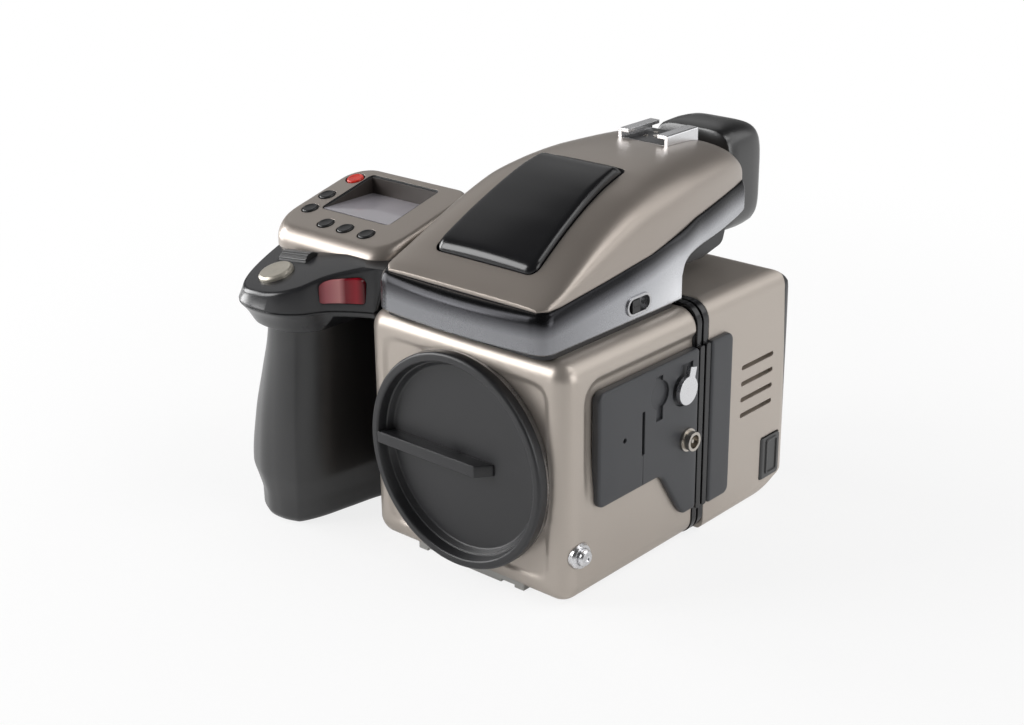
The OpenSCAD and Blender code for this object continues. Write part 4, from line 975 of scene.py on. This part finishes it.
def ledge(grow, deep):
    """Prism over the display's recess, grown on all sides, from deep below the slope to well above it."""
    (x0, y0), (x1, y1) = np.array(RECESS) + ((-grow,), (grow,))
    ring = rounded([(x0, y0), (x1, y0), (x1, y1), (x0, y1)], (1.2 + grow,) * 4, 2, 6)
    low = lift(ring, slope_z(ring[:, 1]) - deep)
    return loft(np.stack((low, low + (0, 0, 20))))


carve(housing, [ledge(0.9, 0.45), block((*RECESS[0], 103.6), (*RECESS[1], 125))]
      + [disc(at - 4 * TOP_UP, TOP_UP, r, 9, 40) for at, r in zip(key_at, (2.98,) * 5 + (3.28,))]
      + [disc(at - 0.8 * TOP_UP, TOP_UP, r, 9, 40) for at, r in zip(key_at, (3.35,) * 5 + (3.75,))])
middles = values(housing.data.polygons, "center", 3) / MM
sunk_by = slope_z(middles[:, 1]) - middles[:, 2]
from_rim = distance(middles[:, :2], rim[-1])
sunk = (sunk_by > 0.02) & (sunk_by < 0.95) & (from_rim < -0.4)
# painted shade: the walls of the recess get a darker paint than the housing
shaded_walls = (sunk_by >= 0.95) & (middles[:, 2] > 103) & (from_rim < -3)
recess_shade_paint = finish("recess_shade_paint", (66, 60, 57), 0.46, 0.2, 0.07, 5200, 0.004, 0.3)
housing.data.materials.append(FINISHES["key_black"].material)
housing.data.materials.append(recess_shade_paint.material)
housing.data.polygons.foreach_set("material_index", sunk.astype(np.int32) + 2 * shaded_walls.astype(np.int32))
print(int(sunk.sum()), "faces of ledge and key rings are black,", int(shaded_walls.sum()), "of the walls are dark")

# %% [markdown]
# The keys are low round caps. They could be plain cylinders, but their tops are dished a little so that a
# fingertip finds them, and the dish catches light. Each is a profile turned about an axis that stands
# square on the slope.

# %% Keys


def turned(profile, at, axis, sides=48):
    """Closed solid: rows (radius, height) of a profile turned about the unit vector axis through at."""
    u = np.cross(axis, (1.0, 0.0, 0.0))
    u /= np.linalg.norm(u)
    a = 2 * np.pi * np.arange(sides)[:, None] / sides
    spokes = np.cos(a) * u + np.sin(a) * np.cross(axis, u)
    return loft(at + profile[:, :1, None] * spokes + profile[:, 1:, None] * axis)


KEYS = [(f"key{k}", f"key_{k}", "key_black", 2.9) for k in range(1, 6)]
KEYS += [("power", "power_button", "power_red", 3.2)]
for at, (carrier, node, paint, r) in zip(key_at, KEYS):
    profile = np.array(((r, -2.6), (r, 0.0), (r - 0.06, 0.22), (r - 0.22, 0.42), (r - 0.5, 0.52),
                        (r - 0.8, 0.5), (0.62 * r, 0.38), (0.35 * r, 0.3), (0.02, 0.27)))
    add_piece(carrier + "_cap", *turned(profile, at, TOP_UP), carrier, paint, (node,))

# %% [markdown]
# The dark panels on the side are thick plates with a soft edge. An extruded curve with a bevel would
# serve, but rings of the outline keep the soft edge even round the slanting corner. Their outline lies in
# the side view: a ring of it rises from the body, turns over the edge and closes in on a hub. The door's
# seams and seats are cut after.

# %% Side panels
PANEL_X, PANEL_ROOT, PANEL_SOFT = 46.0, 43.0, 1.1


def side_plate(name, outline, hub, node):
    """Plate over an outline (y, z) that runs either way, its outer edge rounded."""
    a = np.radians(np.linspace(0, 90, 8))
    y, z = outline.T
    sense = np.sign((y * np.roll(z, -1) - z * np.roll(y, -1)).sum())
    rows = [outline] + [inset(outline, -sense * PANEL_SOFT * (1 - np.cos(t))) for t in a]
    rows += [hub + (rows[-1] - hub) * k for k in (0.75, 0.5, 0.25, 0.03)]
    out = np.concatenate(([PANEL_ROOT], PANEL_X - PANEL_SOFT * (1 - np.sin(a)), np.full(4, PANEL_X)))
    rings = lift(np.stack(rows), out[:, None])[..., (2, 0, 1)]
    return add_piece(name, *loft(rings), "camera", "panel_grey", (node,))


side_outline = rounded([(-23, 32), (10.6, 32), (21, 16), (24, 12.7), (31, 12.7), (31, 72.2), (-23, 72.2)],
                       (3, 5, 4, 3, 1.3, 1.3, 3), 10, 10)
door = side_plate("door_panel", side_outline, np.array((18.0, 42.0)), "side_panel")
rear_outline = rounded([(38.5, 11.3), (51, 11.3), (51, 72.3), (38.5, 72.3)], (1.3, 3, 3, 1.3), 10, 10)
side_plate("rear_panel", rear_outline, np.array((44.5, 42.0)), "back_panel")
carve(door, [
    block((44.8, -0.65, 43.6), (48, 0.85, 59)),  # slot
    block((45.7, 0.0, 31), (48, 0.22, 44)),  # seam below the slot
    disc((44.5, -9.8, 52.1), (1, 0, 0), 0.9, 4, 24),  # small hole
    disc((45.0, 8.7, 62.3), (1, 0, 0), 5, 4, 48),  # keyhole, in three cuts
    block((45.0, 6.9, 53.1), (48, 10.5, 62.1)),
    block((45.0, 6.2, 65), (48, 10.2, 69)),
    disc((45.0, 21.9, 60.1), (1, 0, 0), 6, 4, 48),  # seat of the strap lug, in two cuts
    block((45.0, 21, 63.9), (48, 27, 68.9)),
])

# %% [markdown]
# The body cap closes the mount. Stacked cylinders would give hard steps, so it is one revolved profile: a
# round rim, a sloping inner wall with one fine step and a flat floor. The finger bar is a prism with a
# slanting end, from the rim past the middle.

# %% Body cap
CAP_Y, CAP_R = -38.6, 37.7
profile = rounded([(0.02, -1.3), (32.0, -1.3), (33.4, 0.6), (33.8, 0.7), (34.7, 4.1), (CAP_R, 4.1),
                   (CAP_R, 0.05), (33.2, 0.05), (33.2, -4.2), (0.02, -4.2)],
                  (0.005, 0.7, 0.15, 0.15, 0.8, 1.1, 0.2, 0.1, 0.2, 0.005), 3, 7)
profile = np.concatenate((profile, profile[:1]))
angle = 2 * np.pi * np.arange(144) / 144
cap_rows = np.stack((profile[:, :1] * np.cos(angle), CAP_Y - profile[:, 1:] + 0 * angle,
                     LENS_Z + profile[:, :1] * np.sin(angle)), -1)
add_piece("cap", cap_rows.reshape(-1, 3), quads(len(profile), len(angle), True).tolist(), "cap",
          "cap_plastic", ("body_cap",))
bar = rounded([(-35.2, -42.6), (9.5, -42.6), (14.5, -36.9), (-31.5, -36.9), (-32.6, -39.4), (-35.2, -39.4)],
              (0.6, 0.7, 0.6, 0.6, 0.6, 0.6), 6, 6)
bar_z = np.array((-2.1, -2.0, -1.6, 1.6, 2.0, 2.1)) + LENS_Z - 0.7
bar_rows = np.stack([inset(bar, -d) for d in (0.5, 0.15, 0.0, 0.0, 0.15, 0.5)])
add_piece("cap_bar", *loft(lift(bar_rows, bar_z[:, None])), "cap", "cap_plastic")

# %% [markdown]
# Between the bright rails of the accessory shoe lies a dark insulating plate. Paint on the hood would lie
# too deep, so it is a thin slab with rounded corners, just below the contacts' tops.

# %% Shoe plate
slab = rounded([(-9.2, 58.3), (9.2, 58.3), (9.2, 75.7), (-9.2, 75.7)], (0.6,) * 4, 2, 4)
add_piece("shoe_plate", *loft(np.stack([lift(slab, z) for z in (130.14, 130.32)])), "camera", "black_satin")

# %% [markdown]
# The stage is a plain pale floor, as in a product picture. More light would bleach it and the camera with
# it, so its whiteness comes from Light Path instead: rays from the viewpoint see a floor that glows white
# and keeps a faint shadow. Reflections see it bright on the far side and dim on the near side and under
# the object, as in a studio where dark flags stand in front.

# %% Floor
STAGE_REACH, STAGE_Z = 6.0, -0.0001
ground = bpy.data.meshes.new("ground")
corners = STAGE_REACH * np.array(((-1, -1), (1, -1), (1, 1), (-1, 1)))
ground.from_pydata(lift(corners, STAGE_Z).tolist(), [], [(0, 1, 2, 3)])
stage = new_object("ground", ground)
paper = Finish("paper", {"Roughness": 0.9})
paper.feed("Base Color", paper.blend(paper.noise(300), linear(244, 244, 244), linear(248, 248, 248)))
glow = paper.add("ShaderNodeEmission", {}, {"Color": (1, 1, 1, 1), "Strength": 1.0}, "Emission")
nearer = (paper.part(paper.place, "X") * float(np.sin(AZIMUTH))
          - paper.part(paper.place, "Y") * float(np.cos(AZIMUTH)))
reach = paper.add("ShaderNodeVectorMath", {"operation": "LENGTH"}, {0: paper.place}, "Value")
far_off = paper.ease(reach, (0.12, 0.5), (0.82, 1.0))
bright = paper.ease(nearer, (-0.11, 0.20), (0.95, 0.12))
clear_of = paper.ease(reach, (0.045, 0.11), (0.35, 1.0))
white = paper.add("ShaderNodeMixShader", {}, {
    0: paper.ray("Is Camera Ray") * far_off + paper.ray("Is Glossy Ray") * (bright * clear_of),
    1: Wire(paper, paper.shader.outputs[0]), 2: glow}, "Shader")
paper.tree.links.new(white.socket, paper.tree.nodes["Material Output"].inputs["Surface"])
ground.materials.append(paper.material)
print("floor reaches", STAGE_REACH, "m each way")

# %% [markdown]
# The backdrop is the world. The viewpoint and glass see it white, everything else gets a dim even light
# from it, and reflections find a soft bright sweep low on the right and behind. A picture of a studio
# could be wrapped round the scene, but a few lines of arithmetic on the direction are enough.

# %% Backdrop
WORLD_LIGHT, WORLD_FLAG, WORLD_SWEEP = 0.20, 0.12, 0.9
world = bpy.data.worlds.new("studio")
bpy.context.scene.world = world
world.use_nodes = True
studio = Graph(world.node_tree)
sky = studio.tree.nodes["Background"]
sky.inputs["Color"].default_value = (1, 1, 1, 1)
seen, through_glass = studio.ray("Is Camera Ray"), studio.ray("Is Transmission Ray")
clear = seen.maths("MAXIMUM", seen, through_glass)
direction = studio.add("ShaderNodeTexCoord", {}, {}, "Generated")
aside, beyond, above = (studio.part(direction, axis) for axis in ("X", "Y", "Z"))
sweep_side = clear.maths("MAXIMUM", aside * 0.5 + beyond * 0.85, 0.0)
low_down = clear.maths("MAXIMUM", 1 - above * 1.8, 0.0)
mirrored = studio.ray("Is Glossy Ray") * (sweep_side * sweep_side * low_down * WORLD_SWEEP - WORLD_FLAG)
strength = clear + (1 - clear) * (WORLD_LIGHT + mirrored)
studio.tree.links.new(strength.socket, sky.inputs["Strength"])
print("world light", WORLD_LIGHT)

# %% [markdown]
# Soft boxes light the camera from both sides. Lamps without size would give hard shadows and pin-point
# highlights, so each is a rectangle that looks at the object's middle. The larger ones are dimmer and
# fill, the smaller ones draw the highlights on the edges.

# %% Soft boxes


def softbox(name, place, width, tall, watts):
    """Rectangular area light that looks at the object's middle."""
    light = bpy.data.lights.new(name, "AREA")
    light.shape, light.size, light.size_y, light.energy = "RECTANGLE", width, tall, watts
    ray = np.asarray(place) - TARGET
    ray /= np.linalg.norm(ray)
    side = np.cross((0.0, 0.0, 1.0), ray)
    side /= np.linalg.norm(side)
    obj = new_object(name, light)
    obj.matrix_world = placed(side, np.cross(ray, side), ray, place)
    print(name, watts, "W")


softbox("right", (1.05, 0.10, 0.34), 0.6, 0.6, 3.4)
softbox("right_rear", (0.64, 0.70, 0.70), 0.9, 0.7, 2.6)
softbox("overhead", (0.56, 0.20, 0.92), 0.4, 0.4, 1.7)
softbox("left_front", (-0.70, -0.72, 0.48), 0.5, 0.6, 7.0)
softbox("left", (-1.02, -0.26, 0.30), 0.4, 0.6, 6.5)
softbox("left_rear", (-0.66, 0.50, 0.66), 0.8, 0.7, 0.8)
bpy.context.scene.view_settings.view_transform = "Standard"
